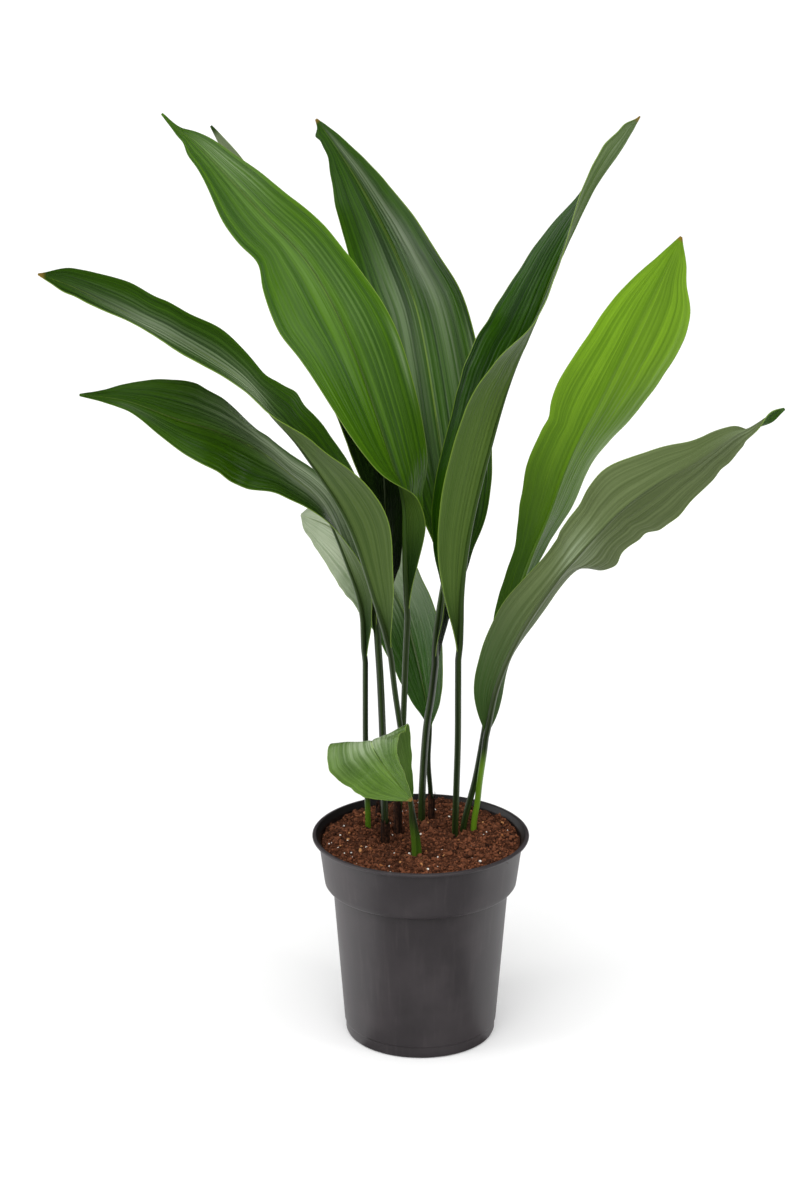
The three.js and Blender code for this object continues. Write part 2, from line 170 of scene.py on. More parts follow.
def maths(tree, operation, a, b=0.0, c=0.0):
    """The result of a Math node."""
    return add_node(tree, "ShaderNodeMath", {"operation": operation}, i0=a, i1=b, i2=c).outputs[0]


def blended(tree, share, a, b, blend="MIX"):
    """A colour that goes from a to b as share goes from 0 to 1."""
    node = add_node(tree, "ShaderNodeMix", {"data_type": "RGBA", "blend_type": blend}, i0=share, i6=a, i7=b)
    return node.outputs[2]


def ramp(tree, value, low, high, to_low=0.0, to_high=1.0, smooth=True):
    """Value from low to high becomes to_low to to_high, and is held there."""
    kind = "SMOOTHSTEP" if smooth else "LINEAR"
    settings = {"interpolation_type": kind, "clamp": True}
    span = add_node(tree, "ShaderNodeMapRange", settings, i0=value, i1=low, i2=high, i3=to_low, i4=to_high)
    return span.outputs[0]


def object_place(tree):
    """Where a point of the surface lies, in metres, as Object coordinates."""
    return tree.nodes.new("ShaderNodeTexCoord").outputs["Object"]


def attribute(tree, name):
    """A number that the mesh keeps for each of its vertices."""
    return add_node(tree, "ShaderNodeAttribute", {"attribute_name": name}).outputs["Fac"]


def noise_texture(tree, place, scale, detail, roughness=0.5):
    """Cloudy noise, mostly between 0.3 and 0.7."""
    inputs = {"Vector": place, "Scale": scale, "Detail": detail, "Roughness": roughness}
    return add_node(tree, "ShaderNodeTexNoise", **inputs).outputs[0]


def add_relief(tree, shader, height, strength, distance):
    """Fine relief that only the light sees, from a pattern of heights. distance is in metres."""
    bump = add_node(tree, "ShaderNodeBump", Strength=strength, Distance=distance, Height=height)
    tree.links.new(bump.outputs[0], shader.inputs["Normal"])


def new_group(name, inputs, outputs):
    """An empty node group whose sockets are all numbers: (tree, its inputs by name, its output node)."""
    tree = bpy.data.node_groups.new(name, "ShaderNodeTree")
    for in_out, sockets in (("INPUT", inputs), ("OUTPUT", outputs)):
        for socket in sockets:
            tree.interface.new_socket(socket, in_out=in_out, socket_type="NodeSocketFloat")
    given = tree.nodes.new("NodeGroupInput")
    result = tree.nodes.new("NodeGroupOutput")
    return tree, {socket: given.outputs[socket] for socket in inputs}, result


def place_group(tree, group, **inputs):
    """Places a node group in a material with its own values."""
    return add_node(tree, "ShaderNodeGroup", {"node_tree": group}, **inputs)


def new_material(name, roughness=0.5):
    """A material with its tree and its Principled shader."""
    material = bpy.data.materials.new(name)
    material.use_nodes = True
    shader = material.node_tree.nodes["Principled BSDF"]
    shader.inputs["Roughness"].default_value = roughness
    return material, material.node_tree, shader


def colour(red, green, blue):
    """A colour given as it looks on a screen, from 0 to 255, as the shader's linear numbers."""
    return tuple(((part / 255 + 0.055) / 1.055) ** 2.4 for part in (red, green, blue)) + (1,)


# %% [markdown]
# A leaf is a mirror with a green body: where it mirrors the dark its green is deep, and where it mirrors a
# window it is pale. The Light Path node tells the two kinds of light apart. An even light from all round
# brightens the green, while a glossy ray sees a tall window at the left of the plant, a panel high in front
# and darkness elsewhere. In front of the pot the table is dark in mirrors too. All this only holds for
# light that is found by following rays, so neither the world nor the table is sampled as a lamp.

# %% The room's light
# Each sector: its two edges and how far they blur, in degrees from straight behind the plant, to the right
WINDOW_SECTOR = (-122, -45, 8)
PANEL_SECTOR = (132, 172, 12)
# Between which heights of a direction each comes in, where 0 is level and 1 is straight up
WINDOW_TOP = (0.9, 0.75)
PANEL_FOOT = (0.15, 0.55)
room = world.node_tree


def sector(tree, place, first, last, blur):
    """(1 between two directions, as seen from above, and 0 outside them, the height of place)."""
    split = add_node(tree, "ShaderNodeSeparateXYZ", Vector=place)
    middle, half = math.radians((first + last) / 2), math.radians((last - first) / 2)
    aside = maths(tree, "SUBTRACT", maths(tree, "ARCTAN2", split.outputs[0], split.outputs[1]), middle)
    off_middle = maths(tree, "ABSOLUTE", maths(tree, "WRAP", aside, math.pi, -math.pi))
    return ramp(tree, off_middle, half + math.radians(blur), half), split.outputs[2]


direction = room.nodes.new("ShaderNodeTexCoord").outputs["Generated"]
window, upward = sector(room, direction, *WINDOW_SECTOR)
window = maths(room, "MULTIPLY", window, ramp(room, upward, *WINDOW_TOP))
panel, _ = sector(room, direction, *PANEL_SECTOR)
panel = maths(room, "MULTIPLY", panel, ramp(room, upward, *PANEL_FOOT))
shine = maths(room, "MULTIPLY_ADD", window, WINDOW_SHINE, DARK_SHINE)
shine = maths(room, "MULTIPLY_ADD", panel, PANEL_SHINE, shine)
ray = room.nodes.new("ShaderNodeLightPath").outputs
strength = ramp(room, ray["Is Camera Ray"], 0.0, 1.0, ROOM_LIGHT, BACKDROP, smooth=False)
change = maths(room, "SUBTRACT", shine, strength)
strength = maths(room, "MULTIPLY_ADD", ray["Is Glossy Ray"], change, strength)
room.links.new(strength, room.nodes["Background"].inputs["Strength"])
room.nodes["Background"].inputs["Color"].default_value = WHITE
world.cycles.sampling_method = "NONE"

# %% The table's paint
TABLE_SECTOR = (-122, 110, 10)  # where mirrors show the table as it is
TABLE_HIDDEN = 0.95  # how much of it they leave out elsewhere
GLOW_REACH = (0.3, 1.6)  # metres from the pot between which the near glow becomes the far one

table_paint, tree, shader = new_material("table_white", roughness=0.9)
place = object_place(tree)
bright, _ = sector(tree, place, *TABLE_SECTOR)
far = add_node(tree, "ShaderNodeVectorMath", {"operation": "LENGTH"}, i0=place).outputs["Value"]
mirrored = tree.nodes.new("ShaderNodeLightPath").outputs["Is Glossy Ray"]
hidden = maths(tree, "MULTIPLY", mirrored, ramp(tree, bright, 0.0, 1.0, TABLE_HIDDEN, 0.0))
tree.links.new(blended(tree, hidden, TABLE_COLOUR, BLACK), shader.inputs["Base Color"])
glow = ramp(tree, far, *GLOW_REACH, NEAR_GLOW, FAR_GLOW)
glow = maths(tree, "MULTIPLY", glow, maths(tree, "SUBTRACT", 1.0, hidden))
tree.links.new(glow, shader.inputs["Emission Strength"])
shader.inputs["Emission Color"].default_value = WHITE
shader.inputs["Specular IOR Level"].default_value = 0.1
table_paint.cycles.emission_sampling = "NONE"
table.data.materials.append(table_paint)
print("room", len(room.nodes), "nodes, table", len(tree.nodes), "nodes")

# %% [markdown]
# ## How a leaf is laid out
# A leaf is one smooth line from the rhizome to the tip, its midrib, with a row of stations along the blade.
# A station is x, y, z in millimetres, the widths of the left and right halves, how steeply each half is
# folded up, and how far the upper side is turned about the midrib, in degrees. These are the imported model's
# own stations, so that each new blade lies where its solid does. Between stations one Catmull-Rom line runs
# through the places and another through the other four numbers.

# %% Leaf stations
STALK_FOOT = 146  # the height where every stalk starts, on the rhizome
STALK_OUT = 182  # and where it comes out of the mix
FRONT = (0, -1, 0)
RIGHT = (1, 0, 0)
LEAVES = {
    "upper_left": dict(
        front=FRONT, stalk_radius=2.9,
        stalk=[(-20, 21, STALK_FOOT), (-20, 21, STALK_OUT), (-17, 21, 225), (-15, 21, 280), (-13, 22, 338)],
        blade=[
            (-11, 24, 392, 4, 4, 20, 90),
            (-12, 27, 445, 17, 15, 52, 90),
            (-14, 33, 479, 26, 26, 30, 86),
            (-25, 41, 513, 36, 35, 15, 50),
            (-59, 68, 605, 44, 40, 6, 14),
            (-94, 90, 669, 46, 32, 5, 10),
            (-136, 108, 712, 31, 28, 8, 8),
            (-187, 124, 764, 11, 13, 12, 5),
            (-208, 129, 781, 4, 3, 8, 5),
            (-222, 133, 794, 1, 1, 5, 5),
        ],
    ),
    "rear_left": dict(
        front=FRONT, stalk_radius=3.2,
        stalk=[(-31, 2, STALK_FOOT), (-31, 2, STALK_OUT), (-32, 5, 225), (-33, 9, 270), (-35, 15, 320)],
        blade=[
            (-38, 24, 376, 4, 4, 20, 60),
            (-36, 37, 416, 16, 18, 40, 60),
            (-31, 56, 457, 28, 20, 22, 50),
            (-35, 78, 513, 37, 26, 15, 32),
            (-51, 97, 578, 40, 30, 10, 25),
            (-92, 121, 653, 32, 20, 10, 50),
            (-146, 148, 726, 15, 13, 14, 120),
            (-182, 163, 779, 1, 1, 10, 160),
        ],
    ),
    "rear_centre": dict(
        front=FRONT, stalk_radius=3.3,
        stalk=[(1, 37, STALK_FOOT), (1, 37, STALK_OUT), (2, 38, 220), (5, 41, 266), (10, 45, 300)],
        blade=[
            (14, 50, 336, 4, 4, 20, 60),
            (18, 58, 372, 14, 9, 45, 50),
            (23, 70, 414, 25, 20, 40, 30),
            (23, 90, 463, 37, 39, 25, 12),
            (16, 116, 515, 43, 47, 14, 2),
            (-1, 156, 609, 44, 48, 18, -6),
            (-22, 176, 664, 41, 43, 22, -20),
            (-51, 192, 718, 25, 26, 28, -6),
            (-79, 199, 761, 9, 9, 14, -4),
            (-92, 202, 779, 1, 1, 5, -4),
        ],
    ),
    "folded_right": dict(
        front=FRONT, stalk_radius=3.1,
        stalk=[(30, 11, STALK_FOOT), (30, 11, STALK_OUT), (31, 11, 225), (32, 12, 268), (32, 13, 312)],
        blade=[
            (32, 14, 354, 4, 4, 20, -88),
            (33, 16, 404, 18, 17, 56, -88),
            (42, 20, 465, 38, 35, 58, -85),
            (62, 28, 544, 41, 40, 58, -84),
            (77, 37, 589, 41, 40, 55, -69),
            (95, 48, 629, 36, 36, 46, -52),
            (114, 62, 677, 26, 26, 34, -58),
            (144, 76, 737, 17, 19, 30, -95),
            (169, 84, 772, 15, 20, 30, -108),
            (184, 90, 798, 1, 1, 5, -110),
        ],
    ),
    "bright_right": dict(
        front=FRONT, stalk_radius=2.8,
        stalk=[(38, 24, STALK_FOOT), (38, 24, STALK_OUT), (48, 26, 225), (55, 29, 265), (60, 30, 298)],
        blade=[
            (66, 30, 335, 4, 4, 20, 195),
            (79, 27, 382, 15, 17, 50, 195),
            (93, 19, 430, 31, 18, 50, 195),
            (108, 9, 472, 41, 29, 45, 195),
            (126, -3, 528, 43, 32, 32, 198),
            (152, -16, 589, 44, 35, 22, 186),
            (178, -28, 651, 42, 28, 20, 168),
            (199, -38, 699, 17, 10, 16, 165),
            (209, -42, 721, 1, 1, 5, 165),
        ],
    ),
    "lower_right": dict(
        front=FRONT, stalk_radius=2.7,
        stalk=[(47, 25, STALK_FOOT), (47, 25, STALK_OUT), (50, 24, 205), (52, 21, 227), (55, 17, 252)],
        blade=[
            (58, 12, 279, 4, 4, 20, 198),
            (66, 0, 325, 25, 26, 57, 196),
            (86, -16, 378, 33, 33, 59, 188),
            (113, -36, 428, 32, 30, 61, 180),
            (128, -46, 450, 33, 31, 38, 168),
            (145, -57, 474, 30, 34, 32, 164),
            (166, -70, 501, 38, 38, 25, 168),
            (192, -84, 526, 31, 32, 30, 158),
            (221, -100, 550, 26, 22, 42, 160),
            (247, -112, 573, 14, 12, 42, 152),
            (261, -117, 581, 6, 6, 48, 104),
            (275, -122, 592, 6, 6, 32, 40),
            (287, -126, 599, 1, 1, 5, 10),
        ],
    ),
    "long_left": dict(
        front=FRONT, stalk_radius=2.7,
        stalk=[(-2, -21, STALK_FOOT), (-2, -21, STALK_OUT), (-9, -22, 225), (-16, -24, 281), (-22, -25, 324)],
        blade=[
            (-28, -28, 373, 4, 4, 20, 101),
            (-38, -30, 411, 17, 17, 50, 101),
            (-61, -34, 480, 36, 32, 50, 104),
            (-98, -40, 542, 38, 29, 40, 80),
            (-123, -45, 573, 37, 31, 28, 78),
            (-147, -50, 604, 35, 35, 12, 82),
            (-199, -60, 641, 33, 33, 15, 75),
            (-234, -66, 661, 28, 28, 18, 74),
            (-278, -74, 686, 20, 22, 12, 72),
            (-307, -80, 698, 1, 1, 5, 70),
        ],
    ),
    "lower_left": dict(
        front=FRONT, stalk_radius=2.7,
        stalk=[(-46, 25, STALK_FOOT), (-46, 25, STALK_OUT), (-47, 24, 222), (-48, 24, 263), (-48, 23, 308)],
        blade=[
            (-48, 23, 347, 4, 4, 20, 93),
            (-49, 21, 379, 11, 10, 36, 93),
            (-58, 18, 415, 20, 20, 34, 93),
            (-83, 10, 479, 30, 30, 10, 78),
            (-113, 0, 512, 34, 32, -7, 73),
            (-137, -12, 535, 36, 33, -20, 54),
            (-170, -30, 556, 35, 31, 4, 47),
            (-201, -46, 570, 21, 31, 8, 37),
            (-236, -62, 588, 10, 16, 10, 32),
            (-258, -71, 595, 5, 6, 8, 32),
            (-277, -80, 599, 1, 1, 5, 30),
        ],
    ),
    "rear_low": dict(
        front=FRONT, stalk_radius=2.2,
        stalk=[(10, 49, STALK_FOOT), (10, 49, STALK_OUT), (9, 51, 205), (7, 54, 233)],
        blade=[
            (8, 60, 266, 3, 3, 20, -10),
            (3, 72, 293, 17, 25, 34, -10),
            (-5, 90, 324, 26, 37, 30, -10),
            (-15, 112, 354, 35, 37, 26, -10),
            (-32, 138, 379, 38, 38, 18, -6),
            (-54, 164, 397, 37, 34, 10, 0),
            (-82, 188, 409, 26, 22, 6, 0),
            (-101, 201, 414, 14, 12, 4, 0),
            (-109, 206, 416, 1, 1, 5, 0),
        ],
    ),
    "small_front": dict(
        front=RIGHT, stalk_radius=2.1,
        stalk=[(-6, -27, STALK_FOOT), (-6, -27, STALK_OUT), (-8, -31, 208)],
        blade=[
            (-10, -36, 233, 3, 3, 10, 90),
            (-22, -42, 262, 16, 24, 14, 92),
            (-35, -49, 285, 32, 36, 12, 98),
            (-42, -60, 294, 39, 36, 6, 102),
            (-40, -71, 290, 27, 37, 4, 108),
            (-32, -79, 279, 16, 34, 4, 112),
            (-21, -86, 267, 10, 24, 4, 112),
            (-8, -92, 252, 1, 1, 4, 110),
        ],
    ),
}


# %% Along a leaf
def between(rows, at):
    """The row at a place, counted in rows, on a Catmull-Rom line through all of them."""
    last = len(rows) - 1
    first = max(0, min(int(at), last - 1))
    t = at - first
    a, b = rows[first], rows[first + 1]
    before = rows[first - 1] if first > 0 else 2 * a - b
    after = rows[first + 2] if first + 2 <= last else 2 * b - a
    bend = 2 * before - 5 * a + 4 * b - after
    return 0.5 * (2 * a + (b - before) * t + bend * t * t + (3 * a - before - 3 * b + after) * t ** 3)


FOOT_SHARE = 0.07  # how far the blade's two edges run down the stalk before they fade
LOOK_AHEAD = 0.001  # the step along the line that tells its direction


class Midrib:
    """The line of one leaf and, at any share of its blade, how the blade lies there."""

    def __init__(self, leaf):
        self.front = Vector(leaf["front"])
        self.stalk_rows = len(leaf["stalk"])
        self.line = [Vector(point[:3]) for point in [*leaf["stalk"], *leaf["blade"]]]
        self.stations = [Vector(station[3:]) for station in leaf["blade"]]

    def point(self, share):
        """A point of the midrib: share is 0 at the blade's foot, 1 at its tip and below 0 down the stalk."""
        rows = self.stalk_rows if share < 0 else len(self.stations) - 1
        return between(self.line, max(0, self.stalk_rows + share * rows))

    def frame(self, share):
        """(point, side, up, left width, right width, fold). side points to the right, up out of the face."""
        along = (self.point(share + LOOK_AHEAD) - self.point(share - LOOK_AHEAD)).normalized()
        left, right, fold, turn = between(self.stations, max(share, 0) * (len(self.stations) - 1))
        if share < 0:
            left, right = left * (1 + share / FOOT_SHARE), right * (1 + share / FOOT_SHARE)
        facing = (self.front - self.front.dot(along) * along).normalized()
        turn = math.radians(turn)
        up = math.cos(turn) * facing + math.sin(turn) * along.cross(facing)
        return self.point(share), along.cross(up), up, left, right, math.radians(fold)


midribs = {name: Midrib(leaf) for name, leaf in LEAVES.items()}

# %% [markdown]
# ## The blades
# A cast iron plant's blade is leathery and thin. Long shallow pleats run beside the midrib, close in on one
# another at the foot and the tip, and a soft ripple follows the margin. All of this is real relief that
# changes how the leaf mirrors the room, so it is modelled and not painted. A flat grid is the natural
# start: its x is the place across the blade, its y the place along it. Extruding the grid closes it into a
# slab, the grid's own x and y become the UV map, and then every vertex moves to its place on the leaf.

# %% Blade relief
BLADE_THICKNESS = 0.7
HALF_CURVE = 0.15  # a half starts this share steeper than its fold, and ends as much flatter
LEAST_HALF_WIDTH = 0.35
GROOVES = (0.22, 0.46, 0.7, 0.9)  # the main grooves of a half, from its midrib (0) to its margin (1)
GROOVE_WANDER = 0.07
GROOVE_SPREAD = 0.022
GROOVE_DEPTH = 0.4
PLEATS = 10.3  # on each half
PLEAT_DEPTH = 0.26
MARGIN_CALM = 0.6  # how much the pleats and grooves fade towards the margin
RIPPLE_DEPTH = 2.4  # of the waves along the margin
SWELL_DEPTH = 1.6  # of the slow rise and fall of the whole skin
DIMPLE_DEPTH = 0.3
RIB_DEPTH = 0.9  # of the valley over the midrib
RIB_WIDTH = 1.3
FULL_RELIEF_WIDTH = 24  # relief is shallower on a half that is narrower than this
MARGIN_NOTCH = 1.1
FULL_NOTCH_WIDTH = 20
# Where a margin runs out or in: its half (-1 left, 1 right), the share of the blade, by how many
# millimetres and how far along, as a share of the blade
MARGIN_WAVES = {
    "upper_left": [(-1, 0.79, 3, 0.03), (-1, 0.7, 4, 0.03), (-1, 0.62, -6, 0.03), (-1, 0.5, 6, 0.05)],
    "rear_centre": [(-1, 0.93, 4, 0.02), (-1, 0.86, -2, 0.02), (-1, 0.77, 4, 0.05), (1, 0.68, 3, 0.05)],
    "folded_right": [(-1, 0.86, 4, 0.04), (1, 0.955, 7, 0.03), (-1, 0.76, -2, 0.03)],
    "bright_right": [(1, 0.6, 2.5, 0.03), (1, 0.54, -2.5, 0.015), (1, 0.45, 2, 0.03), (-1, 0.8, 2, 0.03)],
    "lower_right": [
        (-1, 0.36, 4, 0.03), (-1, 0.475, -4, 0.018), (-1, 0.57, 1.5, 0.03), (-1, 0.68, -2, 0.015),
    ],
    "long_left": [
        (1, 0.8, 6, 0.04), (1, 0.6, 9, 0.04), (1, 0.52, -7, 0.03), (1, 0.43, 3, 0.03), (-1, 0.92, 3, 0.03),
    ],
    "lower_left": [(-1, 0.8, -1, 0.03), (-1, 0.66, 6, 0.06), (-1, 0.42, -5, 0.08), (1, 0.75, 3, 0.1)],
    "small_front": [(-1, 0.43, -8, 0.12), (1, 0.31, -6, 0.1), (1, 0.57, 4, 0.1)],
}
# Where a blade has a painted sheen, a pale painted reflection: how far across (-1 left margin, 1 right
# margin), the share of the blade, how far the patch spreads each way and how strong it is. On the real
# plant this is mostly mirrored light on waxy skin. Here it is painted as pale streaks in the colour,
# which stay where they are from every side.
PAINTED_SHEEN_PATCHES = {
    "upper_left": [
        (0.45, 0.75, 0.4, 0.06, 0.35), (-0.2, 0.6, 0.3, 0.1, 0.08), (0.4, 0.5, 0.22, 0.12, 0.08),
        (0.9, 0.42, 0.06, 0.03, 0.35),
    ],
    "rear_centre": [
        (0.33, 0.84, 0.22, 0.08, 0.5), (0.4, 0.68, 0.18, 0.1, 0.5), (0.5, 0.54, 0.2, 0.08, 0.25),
        (-0.3, 0.58, 0.3, 0.12, 0.28), (0.3, 0.36, 0.35, 0.08, 0.25), (0.9, 0.5, 0.06, 0.04, 0.4),
    ],
    "folded_right": [(0.0, 0.88, 0.9, 0.1, 0.3), (0.85, 0.64, 0.2, 0.12, 0.5)],
    "bright_right": [(-0.9, 0.5, 0.1, 0.2, 0.35)],
    "lower_right": [(0.1, 0.33, 0.45, 0.07, 0.6), (0.0, 0.8, 0.9, 0.08, 0.25)],
    "long_left": [
        (-0.35, 0.74, 0.5, 0.1, 0.5), (-0.4, 0.53, 0.6, 0.06, 0.8), (-0.1, 0.64, 0.4, 0.16, 0.3),
    ],
    "lower_left": [
        (0.3, 0.33, 0.6, 0.08, 1.2), (0.45, 0.43, 0.45, 0.07, 0.8), (0.6, 0.53, 0.4, 0.1, 0.45),
        (-0.5, 0.8, 0.25, 0.06, 0.2),
    ],
    "rear_low": [(0.0, 0.88, 1.2, 0.18, 0.7)],
    "small_front": [(0.0, 0.47, 0.7, 0.13, 0.85)],
}


def painted_sheen_at(patches, across, share):
    """How strong the painted sheen is there, from 0 to about 1."""
    return sum(
        strength * math.exp(-(((across - middle) / wide) ** 2) - ((share - height) / tall) ** 2)
        for middle, height, wide, tall, strength in patches)


def grooves(out, hand, share, seed):
    """How deep a main groove is there, from 0 beside them to about 1 in the middle of one."""
    depth = 0
    for number, middle in enumerate(GROOVES):
        place = middle + GROOVE_WANDER * noise.noise((2.2 * share, number + 5.0 * hand, seed))
        strength = 0.75 + 0.7 * noise.noise((3.1 * share, number + 9.0 * hand, seed + 3))
        depth += strength * math.exp(-(((out - place) / GROOVE_SPREAD) ** 2))
    return depth


def blade_relief(out, hand, share, width, seed, crease):
    """(height in millimetres, groove): the skin's relief. crease scales the pleats and the grooves."""
    slim = min(1, width / FULL_RELIEF_WIDTH)
    fade = slim * (1 - MARGIN_CALM * out ** 4)
    groove = grooves(out, hand, share, seed) * fade * crease
    drift = 0.3 * noise.noise((3 * share, 2.0 * hand, seed))
    uneven = 0.5 + noise.noise((out * 5, 4 * share, seed + hand))
    small = math.cos(2 * math.pi * (out * PLEATS + drift)) * uneven
    relief = fade * crease * PLEAT_DEPTH * small - GROOVE_DEPTH * groove
    relief += RIPPLE_DEPTH * slim * out ** 3 * noise.noise((9 * share, 5.0 * hand, seed + 31))
    relief += SWELL_DEPTH * slim * noise.noise((5 * share, out * hand * 1.5, seed + 57))
    relief += DIMPLE_DEPTH * slim * noise.noise((34 * share, out * hand * 4, seed + 71))
    return relief - RIB_DEPTH * slim * math.exp(-((out * width / RIB_WIDTH) ** 2)), groove


def place_on_blade(midrib, share, across, level, seed, crease, waves):
    """(place in metres, groove). Each half of the blade leaves the midrib steeply and flattens outwards."""
    point, side, up, left, right, fold = midrib
    hand = -1 if across < 0 else 1
    out = abs(across)
    width = max(left if hand < 0 else right, LEAST_HALF_WIDTH)
    jag = noise.noise((22 * share, 3.0 * hand, seed + 77))
    width += MARGIN_NOTCH * min(1, width / FULL_NOTCH_WIDTH) * jag
    for half, middle, growth, spread in waves:
        if half == hand:
            width += growth * math.exp(-(((share - middle) / spread) ** 2))
    steep = fold * (1 + HALF_CURVE)
    bend = 2 * HALF_CURVE * fold
    slope = steep - bend * out
    if abs(bend) < 1e-6:
        reach, rise = out, 0
    else:
        reach = (math.sin(steep) - math.sin(slope)) / bend
        rise = (math.cos(slope) - math.cos(steep)) / bend
    relief, groove = blade_relief(out, hand, share, width, seed, crease)
    lift = relief + level * BLADE_THICKNESS
    place = point + side * hand * (reach * width - math.sin(slope) * lift)
    return (place + up * (rise * width + math.cos(slope) * lift)) * MM, groove


# %% Making a blade
CELLS_ACROSS = 108
CELLS_ALONG = 150
UNDERSIDE = 1


def add_leaf_uv(bm):
    """Keeps a flat grid's own x and y, from -1 to 1, as a UV map from 0 to 1."""
    uv = bm.loops.layers.uv.new("leaf")
    for face in bm.faces:
        for loop in face.loops:
            loop[uv].uv = (loop.vert.co.x / 2 + 0.5, loop.vert.co.y / 2 + 0.5)


def only_verts(parts):
    """The vertices among the parts that a bmesh operator made."""
    return [part for part in parts if isinstance(part, bmesh.types.BMVert)]


def make_blade(name, seed, crease):
    """A flat slab of small cells, moved vertex by vertex to its place on the leaf."""
    bm = bmesh.new()
    bmesh.ops.create_grid(bm, x_segments=CELLS_ACROSS, y_segments=CELLS_ALONG, size=1)
    under_faces = bm.faces[:]
    raised = bmesh.ops.extrude_face_region(bm, geom=under_faces)["geom"]
    bmesh.ops.translate(bm, vec=(0, 0, 1), verts=only_verts(raised))
    add_leaf_uv(bm)
    for face in under_faces:
        face.material_index = UNDERSIDE
    depth = bm.verts.layers.float.new("groove")
    # how strong the painted sheen, a painted reflection, is at each vertex
    painted_sheen = bm.verts.layers.float.new("painted_sheen")
    waves = MARGIN_WAVES.get(name, [])
    patches = PAINTED_SHEEN_PATCHES.get(name, [])
    rows = {}
    for vert in bm.verts:
        across, row, level = vert.co.x, round(vert.co.y, 5), vert.co.z - 0.5
        share = (row / 2 + 0.5) * (1 + FOOT_SHARE) - FOOT_SHARE
        if row not in rows:
            rows[row] = midribs[name].frame(share)
        vert[painted_sheen] = painted_sheen_at(patches, across, share)
        vert.co, vert[depth] = place_on_blade(rows[row], share, across, level, seed, crease, waves)
    return new_object("leaf_blade_" + name, bm)


# %% [markdown]
# ## Leaf surfaces
# Both sides of a blade carry fine parallel veins, about a millimetre apart. The upper side is a deep glossy
# green with paler streaks along the pleats, the underside is matte and greyer. Where the blade has its
# painted sheen, a painted reflection, whitish threads lie over the green. The margin is a thin pale line,
# and some tips have dried brown. One node group draws the veins and streaks from the UV map, stretched
# along the leaf.

# %% Vein group
VEINS_ACROSS = 62
THREADS_ACROSS = 30
STREAKS_ACROSS = 13
CLOUDS_ACROSS = 3.0
# Where each pattern comes in or fades: the first two by the distance from the middle line, as a share of
# the whole width, and the tip by its share of the length
MARGIN_LINE = (0.488, 0.4985)
MIDRIB_LINE = (0.004, 0.014)
TIP_LINE = (0.985, 1.003)
TIP_RAG = 0.02

vein_group, given, result = new_group(
    "leaf_veins", ("Seed",), ("Fine", "Thread", "Streak", "Cloud", "Margin", "Tip", "Midrib", "Length"))
uv_map = add_node(vein_group, "ShaderNodeUVMap", {"uv_map": "leaf"}).outputs[0]
split = add_node(vein_group, "ShaderNodeSeparateXYZ", Vector=uv_map)
across, along = split.outputs[0], split.outputs[1]


def stretched_noise(scale_across, scale_along, detail, shift):
    """Noise drawn out along the leaf. shift keeps one pattern from following another."""
    x = maths(vein_group, "MULTIPLY", across, scale_across)
    y = maths(vein_group, "MULTIPLY", along, scale_along)
    z = maths(vein_group, "ADD", given["Seed"], shift)
    place = add_node(vein_group, "ShaderNodeCombineXYZ", X=x, Y=y, Z=z).outputs[0]
    return noise_texture(vein_group, place, 1.0, detail, roughness=0.6)


fine = stretched_noise(VEINS_ACROSS, 3.0, 3, 0.0)
thread = stretched_noise(THREADS_ACROSS, 2.2, 2, 5.2)
streak = stretched_noise(STREAKS_ACROSS, 1.6, 3, 7.3)
cloud = stretched_noise(CLOUDS_ACROSS, 4.0, 3, 3.1)
off_middle = maths(vein_group, "ABSOLUTE", maths(vein_group, "SUBTRACT", across, 0.5))
ragged = maths(vein_group, "MULTIPLY_ADD", fine, TIP_RAG, along)
patterns = {
    "Fine": ramp(vein_group, fine, 0.35, 0.65),
    "Thread": ramp(vein_group, thread, 0.4, 0.62),
    "Streak": ramp(vein_group, streak, 0.36, 0.64),
    "Cloud": ramp(vein_group, cloud, 0.35, 0.65),
    "Margin": ramp(vein_group, off_middle, *MARGIN_LINE),
    "Tip": ramp(vein_group, ragged, *TIP_LINE),
    "Midrib": ramp(vein_group, off_middle, *MIDRIB_LINE, 1.0, 0.0),
    "Length": along,
}
for socket, pattern in patterns.items():
    vein_group.links.new(pattern, result.inputs[socket])
print("vein group", len(vein_group.nodes), "nodes")

# %% Leaf material
MARGIN_GREEN = colour(132, 160, 60)
DRY_TIP = colour(128, 104, 34)
# the pale colour of the painted sheen, a painted reflection
PAINTED_SHEEN_COLOUR = colour(160, 174, 144)
# How much each pattern of the group counts in the tone of the green, in the painted sheen and in the relief
TONE_SHARES = {"Streak": 0.3, "Fine": 0.25, "Thread": 0.25, "Cloud": 0.2}
PAINTED_SHEEN_SHARES = {"Streak": 0.35, "Thread": 0.65}
RELIEF_SHARES = {"Fine": 1.0, "Thread": 1.2}
VEIN_RELIEF = 0.00018
FOOT_FULL = 0.35  # below this share of its reach, the foot's colour is full
LEAST_PAINTED_SHEEN = 0.22  # how much of a patch's sheen there is between the threads
RIB_SHARE = 0.45
MARGIN_SHARE = 0.6
DRY_ROUGHNESS = 0.3  # more than the green skin's
GLOSSY = dict(smoothest=0.13, roughest=0.28, specular=0.5, groove_shade=0.5, bump=0.7)
MATTE = dict(smoothest=0.4, roughest=0.55, specular=0.2, groove_shade=0.7, bump=0.55)


def weighted(tree, veins, shares):
    """The sum of some of the vein group's patterns, each by its share."""
    total = 0.0
    for pattern, share in shares.items():
        total = maths(tree, "MULTIPLY_ADD", veins[pattern], share, total)
    return total


